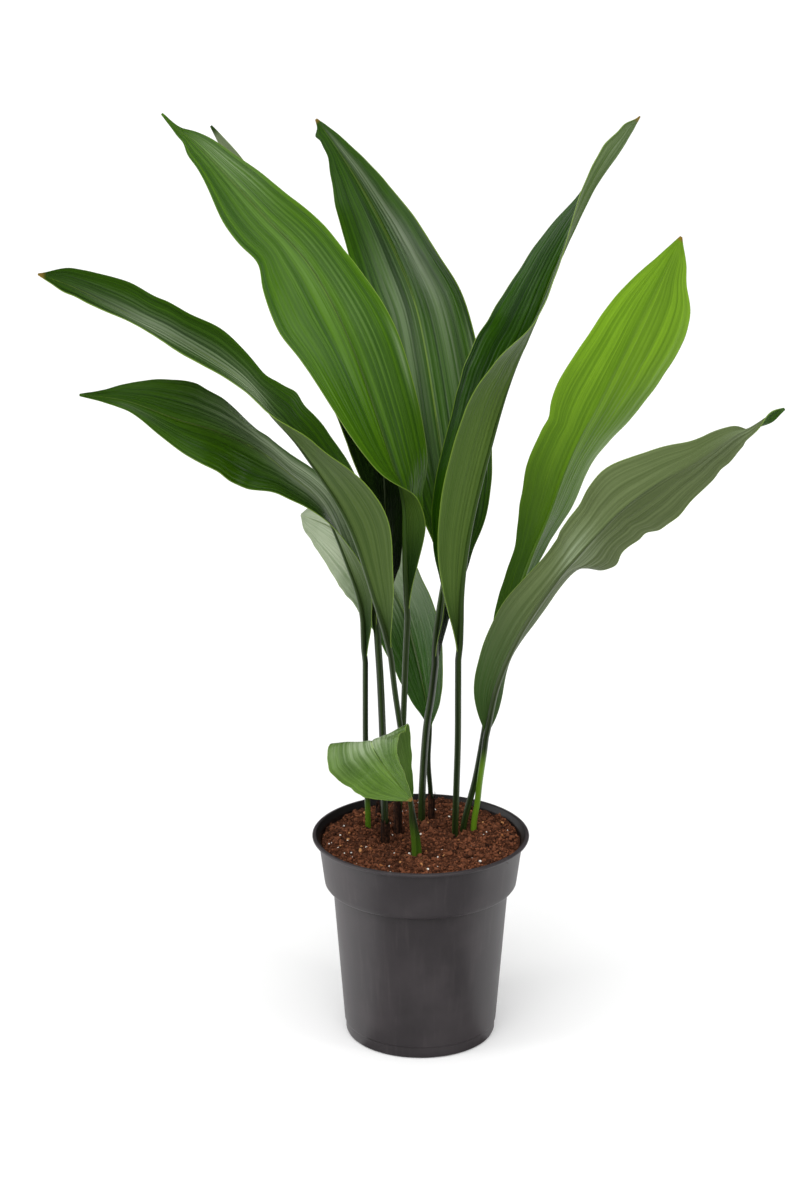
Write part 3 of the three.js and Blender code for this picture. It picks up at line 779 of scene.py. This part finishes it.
def leaf_material(name, seed, dark, light, foot, foot_reach, tip, rib,
                  smoothest, roughest, specular, groove_shade, bump):
    """dark and light are the greens, foot the darker one low down, mostly painted shade, and foot_reach how
    far up the blade it goes.
    """
    material, tree, shader = new_material(name)
    veins = place_group(tree, vein_group, Seed=seed).outputs
    tone = weighted(tree, veins, TONE_SHARES)
    green = blended(tree, tone, dark, light)
    # painted shade: the blade is darker low down, where the leaves shade one another
    green = blended(tree, ramp(tree, veins["Length"], foot_reach, FOOT_FULL * foot_reach), green, foot)
    # the main grooves are painted darker: partly the veins' own deeper green, partly painted shade in the
    # groove
    green = blended(tree, maths(tree, "MULTIPLY", attribute(tree, "groove"), groove_shade), green, dark)
    # painted sheen: pale threads of painted reflection where a blade has its sheen patches
    threads = ramp(tree, weighted(tree, veins, PAINTED_SHEEN_SHARES), 0.0, 0.9, LEAST_PAINTED_SHEEN, 1.0)
    green = blended(tree, maths(tree, "MULTIPLY", attribute(tree, "painted_sheen"), threads), green, PAINTED_SHEEN_COLOUR)
    green = blended(tree, maths(tree, "MULTIPLY", veins["Midrib"], RIB_SHARE), green, rib)
    green = blended(tree, maths(tree, "MULTIPLY", veins["Margin"], MARGIN_SHARE), green, MARGIN_GREEN)
    green = blended(tree, veins["Tip"], green, tip)
    tree.links.new(green, shader.inputs["Base Color"])
    rough = ramp(tree, tone, 0.2, 0.8, roughest, smoothest, smooth=False)
    rough = maths(tree, "MULTIPLY_ADD", veins["Tip"], DRY_ROUGHNESS, rough)
    tree.links.new(rough, shader.inputs["Roughness"])
    add_relief(tree, shader, weighted(tree, veins, RELIEF_SHARES), bump, VEIN_RELIEF)
    shader.inputs["Specular IOR Level"].default_value = specular
    return material


# The greens of each leaf: its upper side's two, its underside's two, and the darker one low down with how far
# up the blade that one reaches. On most leaves that darker green is painted shade, where the leaves shade one
# another near their feet.
LEAF_GREENS = {
    "upper_left": [(30, 66, 0), (78, 118, 15), (60, 90, 24), (84, 112, 40), (24, 52, 2), 0.3],
    # rear_left stands in the others' shadow, and its greens are painted darker as painted shade
    "rear_left": [(16, 34, 4), (34, 58, 9), (84, 100, 66), (120, 130, 100), (7, 15, 2), 0.5],
    "rear_centre": [(14, 44, 0), (60, 100, 12), (58, 84, 28), (82, 106, 42), (14, 32, 2), 0.35],
    "folded_right": [(14, 44, 0), (44, 82, 2), (58, 84, 26), (84, 108, 44), (40, 62, 18), 0.2],
    # bright_right's underside is brighter: partly the young leaf's own colour, partly painted light shining
    # through it
    "bright_right": [(40, 80, 4), (74, 116, 20), (76, 114, 4), (120, 162, 26), (48, 82, 3), 0.75],
    "lower_right": [(30, 66, 3), (58, 96, 18), (68, 82, 42), (98, 112, 70), (50, 76, 28), 0.3],
    "long_left": [(20, 46, 0), (48, 82, 5), (54, 76, 26), (78, 98, 44), (40, 62, 18), 0.2],
    "lower_left": [(28, 60, 1), (56, 92, 4), (54, 76, 26), (78, 98, 44), (30, 54, 14), 0.3],
    # rear_low's upper greens are pale painted sheen near its tip; the green low down is its own
    "rear_low": [(116, 134, 96), (172, 182, 154), (84, 104, 62), (120, 136, 96), (44, 82, 18), 0.78],
    "small_front": [(54, 84, 20), (92, 122, 50), (60, 92, 22), (86, 116, 44), (56, 88, 18), 0.2],
}
# How deep the pleats of each leaf are, against an average leaf
LEAF_CREASES = {"small_front": 0.25, "bright_right": 0.8, "rear_low": 0.6, "rear_centre": 1.3}
BROWN_TIPS = ("folded_right", "bright_right", "small_front", "long_left", "rear_centre")

for number, (name, greens) in enumerate(LEAF_GREENS.items()):
    upper_dark, upper_light, under_dark, under_light, foot = [colour(*green) for green in greens[:5]]
    foot_reach = greens[5]
    upper_foot = min(foot, upper_dark)  # tuples compare by their first number, so the one with less red
    tip = DRY_TIP if name in BROWN_TIPS else upper_light
    blade = make_blade(name, seed=11.7 * (number + 1), crease=LEAF_CREASES.get(name, 1.0))
    above = (upper_dark, upper_light, upper_foot, foot_reach, tip, MARGIN_GREEN)
    below = (under_dark, under_light, foot, foot_reach, tip, under_dark)
    blade.data.materials.append(leaf_material("leaf_upper_" + name, number, *above, **GLOSSY))
    blade.data.materials.append(leaf_material("leaf_under_" + name, number, *below, **MATTE))
    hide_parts("blade_" + name)
    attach(blade, "root")
print("blades", len(LEAF_GREENS), "of", len(blade.data.polygons), "faces each")

# %% [markdown]
# ## The stalks
# A stalk is a firm round rod with a shallow channel down its face, and it doesn't stop at the blade: it
# runs on under it as the midrib and thins out towards the tip. So one piece is both. It starts as the same
# flat grid as a blade, but here the grid's x goes round the rod. Welding the grid's two long edges closes
# the tube.

# %% Stalk
STALK_SIDES = 20
STALK_STEPS = 150
MIDRIB_END = 0.93
MIDRIB_TAPER = 1.9
LEAST_MIDRIB = 0.12
MIDRIB_SUNK = 0.85  # how deep the midrib sinks into the blade, as a share of its radius
SINK_START = 0.06  # it starts to sink so far before the blade's foot
SINK_LENGTH = 0.12
CHANNEL_DEPTH = 0.22
CHANNEL_SPREAD = 0.5
WELD_DISTANCE = 0.000002


def stalk_radius_at(share, radius):
    if share < 0:
        return radius
    return LEAST_MIDRIB + (radius - LEAST_MIDRIB) * max(0, 1 - share / MIDRIB_END) ** MIDRIB_TAPER


def place_on_stalk(midrib, share, angle, radius):
    point, side, up, *_ = midrib
    here = stalk_radius_at(share, radius)
    sunk = here * MIDRIB_SUNK * min(1, max(0, (share + SINK_START) / SINK_LENGTH))
    off_face = math.remainder(angle - math.pi / 2, 2 * math.pi)
    channel = 1 - CHANNEL_DEPTH * math.exp(-((off_face / CHANNEL_SPREAD) ** 2))
    across = math.cos(angle) * here * channel
    outward = math.sin(angle) * here * channel
    return (point + side * across + up * (outward - sunk)) * MM


def closed_tube(sides, steps, place):
    """A grid rolled up: place(share along, angle round) gives each point, and edges that meet are welded."""
    bm = bmesh.new()
    bmesh.ops.create_grid(bm, x_segments=sides, y_segments=steps, size=1)
    add_leaf_uv(bm)
    for vert in bm.verts:
        vert.co = place(round(vert.co.y / 2 + 0.5, 5), vert.co.x * math.pi)
    bmesh.ops.remove_doubles(bm, verts=bm.verts, dist=WELD_DISTANCE)
    bmesh.ops.holes_fill(bm, edges=[edge for edge in bm.edges if edge.is_boundary])
    bmesh.ops.recalc_face_normals(bm, faces=bm.faces)
    return bm


def make_stalk(name):
    frames = {}

    def place(length, angle):
        share = length * (1 + MIDRIB_END) - 1
        if length not in frames:
            frames[length] = midribs[name].frame(share)
        return place_on_stalk(frames[length], share, angle, LEAVES[name]["stalk_radius"])

    return new_object("leaf_stalk_" + name, closed_tube(STALK_SIDES, STALK_STEPS, place))


# %% Stalk material
STALK_GREEN = (colour(20, 34, 8), colour(42, 60, 20))
FOOT_FADE = 26  # so far below its top, the foot's colour is full
UNDER_BLADE = (0.5, 0.62)  # where a stalk becomes a midrib, as a share of its whole length
MIDRIB_SHARE = 0.8


def stalk_material(name, seed, dark, light, foot, foot_top, rib):
    """Dark along its length, with a foot of its own colour, and in the blade's green (rib) as a midrib."""
    material, tree, shader = new_material(name, roughness=0.36)
    veins = place_group(tree, vein_group, Seed=seed).outputs
    height = add_node(tree, "ShaderNodeSeparateXYZ", Vector=object_place(tree)).outputs[2]
    shade = blended(tree, veins["Streak"], dark, light)
    shade = blended(tree, ramp(tree, height, foot_top * MM, (foot_top - FOOT_FADE) * MM), shade, foot)
    under_blade = ramp(tree, veins["Length"], *UNDER_BLADE)
    shade = blended(tree, maths(tree, "MULTIPLY", under_blade, MIDRIB_SHARE), shade, rib)
    tree.links.new(shade, shader.inputs["Base Color"])
    add_relief(tree, shader, veins["Streak"], 0.25, 0.0003)
    return material


# Where a stalk's foot has a colour of its own: the colour and the height that it reaches
STALK_FEET = {
    "lower_left": (colour(74, 110, 20), 218),
    "lower_right": (colour(94, 132, 26), 262),
    "long_left": (colour(60, 92, 20), 205),
    "small_front": (colour(72, 104, 26), 215),
    "rear_low": (colour(58, 80, 26), 200),
}
PLAIN_FOOT = (STALK_GREEN[0], 190)

for number, name in enumerate(LEAVES):
    stalk = make_stalk(name)
    foot, foot_top = STALK_FEET.get(name, PLAIN_FOOT)
    rib = colour(*LEAF_GREENS[name][2])
    skin = stalk_material("stalk_" + name, number + 20, *STALK_GREEN, foot, foot_top, rib)
    stalk.data.materials.append(skin)
    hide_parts("stalk_" + name)
    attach(stalk, "root")
print("leaves", len(LEAVES))

# %% [markdown]
# ## Sheaths, the dead stub and the rhizome
# Each young stalk came up inside a papery scale leaf. What is left of it is a thin brown sleeve with a
# ragged top round the stalk's foot. A sleeve is a tube with two walls: the rolled grid runs up the outside
# and down the inside, and meets itself at the foot. The stub is what an old leaf left behind. The rhizome
# is a knobbly ringed root that creeps below the surface and carries every stalk.

# %% Sheaths
SHEATH_TOPS = {"upper_left": 214, "rear_left": 200, "rear_low": 206}
SHEATH_FOOT = 153
SHEATH_GAP = 0.25
SHEATH_WALL = 0.6
SHEATH_THINNING = 0.7  # how much of the wall is gone at its top
SHEATH_FLARE = 0.5
SHEATH_RAG = 7


def make_sheath(name, top):
    """A ragged sleeve round the foot of a stalk."""
    x, y, _ = LEAVES[name]["stalk"][1]
    seed = top / 3

    def place(loop, angle):
        outer = loop < 0.5
        length = 2 * loop if outer else 2 - 2 * loop
        turn = Vector((math.cos(angle), math.sin(angle), 0))
        ragged = top - SHEATH_RAG * (0.5 + noise.noise((2.2 * turn.x, 2.2 * turn.y, seed)))
        wall = SHEATH_WALL * (1 - SHEATH_THINNING * length) if outer else 0
        radius = LEAVES[name]["stalk_radius"] + SHEATH_GAP + wall
        crumple = noise.noise((3 * turn.x, 3 * turn.y, seed + 3 * length))
        radius += SHEATH_FLARE * length * length + SHEATH_FLARE * length * crumple
        return (Vector((x, y, SHEATH_FOOT + (ragged - SHEATH_FOOT) * length)) + turn * radius) * MM

    return new_object("sheath_sleeve_" + name, closed_tube(36, 48, place))


# %% Dead stub and rhizome
STUB_PLACE = (-37, 48)
STUB_TOP = 197
STUB_RAG = 9
STUB_RADIUS = 3.3
STUB_TAPER = 0.22
STUB_BRIM = 0.85  # up to here the tube's length is the stub's side, and beyond it the top sinks in
STUB_DISH = 5  # how deep it sinks
RHIZOME_HEIGHT = 142
RHIZOME_RADIUS = 7.6
RHIZOME_RUNS = [
    [(-54, 27), (-44, 18), (-31, 4), (-20, 18), (6, 26), (30, 13), (44, 24), (56, 25)],
    [(0, 24), (-2, 4), (-4, -34)],
    [(2, 24), (2, 38), (11, 56)],
    [(-44, 20), (-42, 34), (-36, 52)],
]


def stub_place(length, angle):
    turn = Vector((math.cos(angle), math.sin(angle), 0))
    ragged = STUB_TOP - STUB_RAG * abs(noise.noise((1.5 * turn.x, 1.5 * turn.y, 4.4)))
    height = STALK_FOOT + (ragged - STALK_FOOT) * min(1, length / STUB_BRIM)
    if length < STUB_BRIM:
        radius = STUB_RADIUS * (1 - STUB_TAPER * length)
    else:
        radius = STUB_RADIUS * (1 - length) * 4
    radius *= 1 + 0.16 * noise.noise((2 * turn.x, 2 * turn.y, 9 * length))
    sunk = STUB_DISH * max(0, length - STUB_BRIM) / 0.15
    return Vector((STUB_PLACE[0] + turn.x * radius, STUB_PLACE[1] + turn.y * radius, height - sunk)) * MM


def rhizome_run(run):
    points = [Vector((x, y, RHIZOME_HEIGHT)) for x, y in run]

    def place(length, angle):
        at = length * (len(points) - 1)
        middle = between(points, at)
        along = (between(points, min(at + 0.01, len(points) - 1)) - between(points, at - 0.01)).normalized()
        side = along.cross(Vector((0, 0, 1)))
        ring = abs(math.sin(at * 7)) ** 6
        end = min(1, 12 * length, 12 * (1 - length)) ** 0.5
        knob = noise.noise((2 * at, math.cos(angle), math.sin(angle)))
        radius = RHIZOME_RADIUS * end * (0.92 + 0.05 * ring + 0.06 * knob)
        return (middle + (side * math.cos(angle) + Vector((0, 0, 1)) * math.sin(angle)) * radius) * MM

    return closed_tube(28, 30 * len(run), place)


def joined(name, parts):
    """One object of several bmeshes."""
    whole = bmesh.new()
    part_mesh = bpy.data.meshes.new("part")
    for part in parts:
        part.to_mesh(part_mesh)
        part.free()
        whole.from_mesh(part_mesh)
    bpy.data.meshes.remove(part_mesh)
    return new_object(name, whole)


stub = new_object("dead_leaf_stub", closed_tube(28, 40, stub_place))
rhizome = joined("ringed_rhizome", [rhizome_run(run) for run in RHIZOME_RUNS])


# %% Dry materials
# Each finish: its dark and light brown and how strong its relief is
SHEATH_FINISH = (colour(26, 15, 10), colour(84, 52, 36), 0.8)
STUB_FINISH = (colour(22, 13, 10), colour(70, 44, 32), 0.9)
RHIZOME_FINISH = (colour(92, 62, 40), colour(168, 130, 90), 0.7)


def husk_material(name, seed, dark, light, bump):
    """Dry brown plant skin with fibres along it."""
    material, tree, shader = new_material(name, roughness=0.85)
    veins = place_group(tree, vein_group, Seed=seed).outputs
    mottle = noise_texture(tree, object_place(tree), 420.0, 5.0)
    tone = maths(tree, "MULTIPLY", ramp(tree, mottle, 0.3, 0.7), veins["Streak"])
    tree.links.new(blended(tree, tone, dark, light), shader.inputs["Base Color"])
    height = maths(tree, "MULTIPLY_ADD", veins["Streak"], 0.7, mottle)
    add_relief(tree, shader, height, bump, 0.0005)
    shader.inputs["Specular IOR Level"].default_value = 0.25
    return material


for number, (name, top) in enumerate(SHEATH_TOPS.items()):
    sleeve = make_sheath(name, top)
    sleeve.data.materials.append(husk_material("husk_" + name, 40 + number, *SHEATH_FINISH))
    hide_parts("sheath_" + name)
    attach(sleeve, "root")
stub.data.materials.append(husk_material("husk_stub", 44, *STUB_FINISH))
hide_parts("dead_stub")
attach(stub, "root")
rhizome.data.materials.append(husk_material("rhizome_skin", 45, *RHIZOME_FINISH))
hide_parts("rhizome")
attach(rhizome, "root")
print("sheaths", len(SHEATH_TOPS), "and a stub")

# %% [markdown]
# ## The nursery pot
# The pot is moulded from one dark grey plastic: a tapered body, a wider collar with a rounded foot, and a
# rolled lip. A half section turned about the upright axis gives all of it, and a bevel rounds its corners.
# The drain holes are cut through the floor afterwards.

# %% Pot
POT_STEPS = 144
POT_FLOOR = 2
POT_ROUNDING = 0.5
SHARP_CORNER = math.radians(28)
DRAIN_COUNT = 8
DRAIN_RADIUS = 4.5
DRAIN_SIDES = 32
DRAIN_CIRCLE = 46
POT_INSIDE = [
    (0, 2), (64.4, 2), (65.6, 12), (75.4, 139.6), (82, 145.6), (85.2, 162), (88, 181.6), (90.4, 184.8),
]
POT_OUTSIDE = [
    (0, 0), (63, 0), (65.1, 0.9), (66, 3), (66.2, 10.6), (67.2, 11.8), (77, 138), (80.6, 138.9),
    (82.8, 140.1), (84.1, 142), (84.6, 145), (86.8, 162), (89.6, 182.8), (92.8, 182.8), (94.4, 183.4),
    (95, 184.5), (94.5, 185.6), (93, 186), (91.6, 186),
]


def turned(profile, steps):
    """A closed body turned about the upright axis from a section that starts and ends on it."""
    bm = bmesh.new()
    corners = [bm.verts.new((radius * MM, 0, height * MM)) for radius, height in profile]
    edges = [bm.edges.new(pair) for pair in zip(corners, corners[1:])]
    bmesh.ops.spin(bm, geom=corners + edges, cent=(0, 0, 0), axis=(0, 0, 1), angle=2 * math.pi, steps=steps,
                   use_merge=True)
    bmesh.ops.remove_doubles(bm, verts=bm.verts, dist=0.00001)
    bmesh.ops.recalc_face_normals(bm, faces=bm.faces)
    return bm


def cut_drains(pot):
    """Cuts the drain holes with a boolean, whose result becomes the pot's own mesh."""
    tools = bmesh.new()
    for i in range(DRAIN_COUNT):
        angle = 2 * math.pi * (i + 0.5) / DRAIN_COUNT
        centre = (DRAIN_CIRCLE * MM * math.cos(angle), DRAIN_CIRCLE * MM * math.sin(angle), 0)
        bmesh.ops.create_cone(
            tools, cap_ends=True, segments=DRAIN_SIDES, radius1=DRAIN_RADIUS * MM, radius2=DRAIN_RADIUS * MM,
            depth=3 * POT_FLOOR * MM, matrix=Matrix.Translation(centre))
    cutter = new_object("drain_cutter", tools)
    cut = pot.modifiers.new("drains", "BOOLEAN")
    cut.operation = "DIFFERENCE"
    cut.object = cutter
    evaluated = pot.evaluated_get(bpy.context.evaluated_depsgraph_get())
    finished = bpy.data.meshes.new_from_object(evaluated)
    pot.modifiers.clear()
    pot.data = finished
    bpy.data.objects.remove(cutter)


pot_mesh = turned(POT_OUTSIDE + POT_INSIDE[::-1], POT_STEPS)
sharp = [edge for edge in pot_mesh.edges if edge.is_manifold and edge.calc_face_angle() > SHARP_CORNER]
bmesh.ops.bevel(
    pot_mesh, geom=sharp, offset=POT_ROUNDING * MM, segments=3, profile=0.5, affect="EDGES", material=-1)
pot = new_object("nursery_pot", pot_mesh)
cut_drains(pot)
print("pot", len(pot.data.polygons), "faces")

# %% [markdown]
# Pot plastic is satin, with a fine grain from the mould, faint upright drag marks and a little dust. Seen
# straight on it shows its own dark grey, and towards its sides it mirrors more of the room. Its inner wall
# is painted darker as painted shade, the shade under the rim: the wall is found as the part whose face
# looks towards the axis.

# %% Pot material
POT_GREYS = (colour(54, 50, 52), colour(64, 59, 61))
DRAG_GREY = colour(80, 74, 75)
DRAG_STRETCH = (260, 260, 9)
# the painted shade of the inner wall
PAINTED_INNER_SHADE = colour(24, 21, 21)
INNER_WALL = (-0.015, -0.05)  # metres out along the face's own direction, below 0 where it looks inwards

pot_paint, tree, shader = new_material("pot_plastic")
place = object_place(tree)
grain = noise_texture(tree, place, 1900.0, 2.0)
drag_place = add_node(tree, "ShaderNodeMapping", Vector=place, Scale=DRAG_STRETCH).outputs[0]
drag = noise_texture(tree, drag_place, 1.0, 3.0)
cloud = noise_texture(tree, place, 22.0, 4.0)
grey = blended(tree, ramp(tree, cloud, 0.35, 0.7), *POT_GREYS)
grey = blended(tree, ramp(tree, drag, 0.5, 0.8, 0.0, 0.25), grey, DRAG_GREY)
flat_place = add_node(tree, "ShaderNodeVectorMath", {"operation": "MULTIPLY"}, i0=place, i1=(1, 1, 0))
normal = tree.nodes.new("ShaderNodeNewGeometry").outputs["Normal"]
settings = {"operation": "DOT_PRODUCT"}
facing_out = add_node(tree, "ShaderNodeVectorMath", settings, i0=flat_place.outputs[0], i1=normal)
# painted shade: the inner wall, whose face looks towards the axis, is painted darker
grey = blended(tree, ramp(tree, facing_out.outputs["Value"], *INNER_WALL), grey, PAINTED_INNER_SHADE)
tree.links.new(grey, shader.inputs["Base Color"])
tree.links.new(ramp(tree, cloud, 0.3, 0.7, 0.43, 0.49), shader.inputs["Roughness"])
shader.inputs["Specular IOR Level"].default_value = 0.42
add_relief(tree, shader, grain, 0.22, 0.0001)
pot.data.materials.append(pot_paint)
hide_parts("pot")
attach(pot, "root")

# %% [markdown]
# ## The potting mix
# The mix is coir and fine bark: reddish-brown crumbs of 1 to 6 mm with hair-like fibres between them, a few
# white perlite grains and orange bark chips. The body below is one turned solid with a lumpy top, and
# thousands of small crumbs, each with few faces, lie on it. Each crumb keeps a random tone in an attribute
# that the material reads.

# %% Mix body
MIX_STEPS = 150
MIX_RINGS = 62
MIX_EDGE_HEIGHT = 178
MIX_TOP_RADIUS = 87.1
MIX_BLANK_TOP = 173  # where the turned solid's flat top lies before it is raised
MIX_TONE = 0.18
# The heap behind and the hollows round some stalks: x, y, how far each spreads and how far it rises
HEAPS = [
    (8, 55, 46, 5), (-3, -24, 13, -5.0), (34, 16, 12, -4.0), (-20, 14, 10, -3.5), (-31, -2, 9, -3.0),
    (10, 44, 8, -3.0),
]
LUMPS = [(4.2, 13, 3.3), (2.6, 5.5, 8.1), (1.0, 2.4, 1.7)]  # how high, how wide, and a seed


def mix_height(x, y):
    """The height of the mix in millimetres."""
    height = MIX_EDGE_HEIGHT
    for heap_x, heap_y, spread, rise in HEAPS:
        height += rise * math.exp(-((x - heap_x) ** 2 + (y - heap_y) ** 2) / 2 / spread ** 2)
    for rise, width, seed in LUMPS:
        height += rise * noise.noise((x / width, y / width, seed))
    return height


mix_side = [(0, 2.4), (64.0, 2.4), (65.2, 12.2), (75.0, 140), (81.6, 146), (84.8, 162), (86.2, 172)]
mix_top = [(MIX_TOP_RADIUS * (1 - i / MIX_RINGS), MIX_BLANK_TOP) for i in range(MIX_RINGS + 1)]
mix_mesh = turned(mix_side + mix_top, MIX_STEPS)
for vert in mix_mesh.verts:
    if vert.co.z > (MIX_BLANK_TOP - 0.5) * MM:
        vert.co.z = mix_height(vert.co.x / MM, vert.co.y / MM) * MM
tone = mix_mesh.verts.layers.float.new("tone")
for vert in mix_mesh.verts:
    vert[tone] = MIX_TONE
mix = new_object("potting_mix_body", mix_mesh)
print("mix body", len(mix.data.polygons), "faces")

# %% Crumbs
HANDFUL = 60
ANY_TURN = 6.3  # radians, a little over a full turn
random.seed(41)


def scattered(reach):
    """A random place on the mix, in millimetres."""
    radius = reach * math.sqrt(random.random())
    angle = 2 * math.pi * random.random()
    return radius * math.cos(angle), radius * math.sin(angle)


def add_crumb(bm, layer, place, radius, stretch, shade):
    """An uneven crumb: a small ball whose corners are pushed in and out, stretched and turned at random."""
    angle = ANY_TURN * random.random()
    axis = Vector((random.random() - 0.5, random.random() - 0.5, 0.6))
    turn = Matrix.Rotation(angle, 4, axis)
    shape = Matrix.Translation(place) @ turn @ Matrix.Diagonal((*stretch, 1))
    ball = bmesh.ops.create_icosphere(bm, subdivisions=1, radius=radius)["verts"]
    for vert in ball:
        vert.co = shape @ (vert.co * random.uniform(0.72, 1.25))
        vert[layer] = shade


def gathered(name, count, add_one):
    """One mesh of count small pieces, made in handfuls, because an operator slows down in a large mesh."""
    whole = bmesh.new()
    handful_mesh = bpy.data.meshes.new("handful")
    for first in range(0, count, HANDFUL):
        handful = bmesh.new()
        tone = handful.verts.layers.float.new("tone")
        for _ in range(first, min(count, first + HANDFUL)):
            add_one(handful, tone)
        handful.to_mesh(handful_mesh)
        handful.free()
        whole.from_mesh(handful_mesh)
    bpy.data.meshes.remove(handful_mesh)
    return whole


def make_crumbs(name, count, sizes, shades, reach, lift):
    """A loose layer of crumbs. lift is how high their middles lie over the mix, by the share of a radius."""
    def add_one(bm, layer):
        x, y = scattered(reach)
        radius = random.uniform(*sizes) * random.uniform(0.6, 1.0)
        place = Vector((x, y, mix_height(x, y) + radius * lift)) * MM
        stretch = (random.uniform(0.7, 1.6), random.uniform(0.7, 1.1), random.uniform(0.5, 0.9))
        add_crumb(bm, layer, place, radius * MM, stretch, random.uniform(*shades))

    return new_object(name, gathered(name, count, add_one))


fine_crumbs = make_crumbs("mix_fine_crumbs", 6400, (0.7, 1.8), (0.1, 1.0), reach=86.0, lift=0.3)
lumps = make_crumbs("mix_lumps", 900, (1.8, 3.4), (0.0, 0.8), reach=84.0, lift=0.1)
perlite = make_crumbs("perlite_grains", 62, (0.8, 1.5), (0.0, 1.0), reach=82.0, lift=1.2)
chips = make_crumbs("bark_chips", 46, (1.2, 2.6), (0.0, 1.0), reach=82.0, lift=0.5)
print("crumbs", [len(layer.data.polygons) for layer in (fine_crumbs, lumps, perlite, chips)], "faces")

# %% Fibres
FIBRE_COUNT = 420
FIBRE_STEPS = 6
FIBRE_REACH = 80
FIBRE_LENGTHS = (4, 13)
FIBRE_RADII = (0.12, 0.26)
FIBRE_TONES = (0.3, 1.0)
FIBRE_LIFT = 1.0
FIBRE_BEND = 0.5


def add_fibre(bm, layer):
    """A thin bent hair of coir that lies on the mix."""
    x, y = scattered(FIBRE_REACH)
    heading = ANY_TURN * random.random()
    length = random.uniform(*FIBRE_LENGTHS)
    ring = bmesh.ops.create_circle(bm, segments=4, radius=random.uniform(*FIBRE_RADII) * MM)["verts"]
    shade = random.uniform(*FIBRE_TONES)
    ahead = Vector((math.cos(heading), math.sin(heading), 0))
    to_heading = Vector((0, 0, 1)).rotation_difference(ahead).to_matrix()
    bmesh.ops.rotate(bm, verts=ring, cent=(0, 0, 0), matrix=to_heading)
    bmesh.ops.translate(bm, verts=ring, vec=Vector((x, y, mix_height(x, y) + FIBRE_LIFT)) * MM)
    edges = list({edge for vert in ring for edge in vert.link_edges})
    for vert in ring:
        vert[layer] = shade
    for _ in range(FIBRE_STEPS):
        heading += random.uniform(-FIBRE_BEND, FIBRE_BEND)
        new_x = x + math.cos(heading) * length / FIBRE_STEPS
        new_y = y + math.sin(heading) * length / FIBRE_STEPS
        rise = mix_height(new_x, new_y) - mix_height(x, y) + random.uniform(-0.25, 0.35)
        made = bmesh.ops.extrude_edge_only(bm, edges=edges)["geom"]
        ring = only_verts(made)
        edges = [part for part in made if isinstance(part, bmesh.types.BMEdge)]
        bmesh.ops.translate(bm, verts=ring, vec=Vector((new_x - x, new_y - y, rise)) * MM)
        x, y = new_x, new_y


fibre_mesh = gathered("fibres", FIBRE_COUNT, add_fibre)
bmesh.ops.holes_fill(fibre_mesh, edges=[edge for edge in fibre_mesh.edges if edge.is_boundary])
bmesh.ops.recalc_face_normals(fibre_mesh, faces=fibre_mesh.faces)
fibres = new_object("coir_fibres", fibre_mesh)
print("fibres", len(fibres.data.polygons), "faces")

# %% Mix materials
COIR_COLOURS = (colour(36, 19, 12), colour(134, 82, 56), colour(96, 58, 38))
PERLITE_COLOURS = (colour(226, 220, 210), colour(250, 248, 244), colour(205, 196, 184))
BARK_COLOURS = (colour(150, 92, 52), colour(205, 150, 98), colour(110, 62, 36))


def crumb_material(name, dark, light, speck, roughness, bump):
    """dark and light follow each crumb's tone, and speck is the colour of fine flecks all over."""
    material, tree, shader = new_material(name, roughness)
    mottle = noise_texture(tree, object_place(tree), 700.0, 4.0)
    body = blended(tree, attribute(tree, "tone"), dark, light)
    body = blended(tree, ramp(tree, mottle, 0.55, 0.75, 0.0, 0.6), body, speck)
    tree.links.new(body, shader.inputs["Base Color"])
    add_relief(tree, shader, mottle, bump, 0.0006)
    shader.inputs["Specular IOR Level"].default_value = 0.25
    return material


coir = crumb_material("coir", *COIR_COLOURS, roughness=0.95, bump=0.6)
white = crumb_material("perlite", *PERLITE_COLOURS, roughness=0.8, bump=0.4)
bark = crumb_material("bark", *BARK_COLOURS, roughness=0.85, bump=0.5)
mix_layers = {mix: coir, fine_crumbs: coir, lumps: coir, fibres: coir, perlite: white, chips: bark}
for piece, paint in mix_layers.items():
    piece.data.materials.append(paint)
    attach(piece, "root")
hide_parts("potting_mix")
print("mix", sum(len(piece.data.polygons) for piece in mix_layers), "faces")
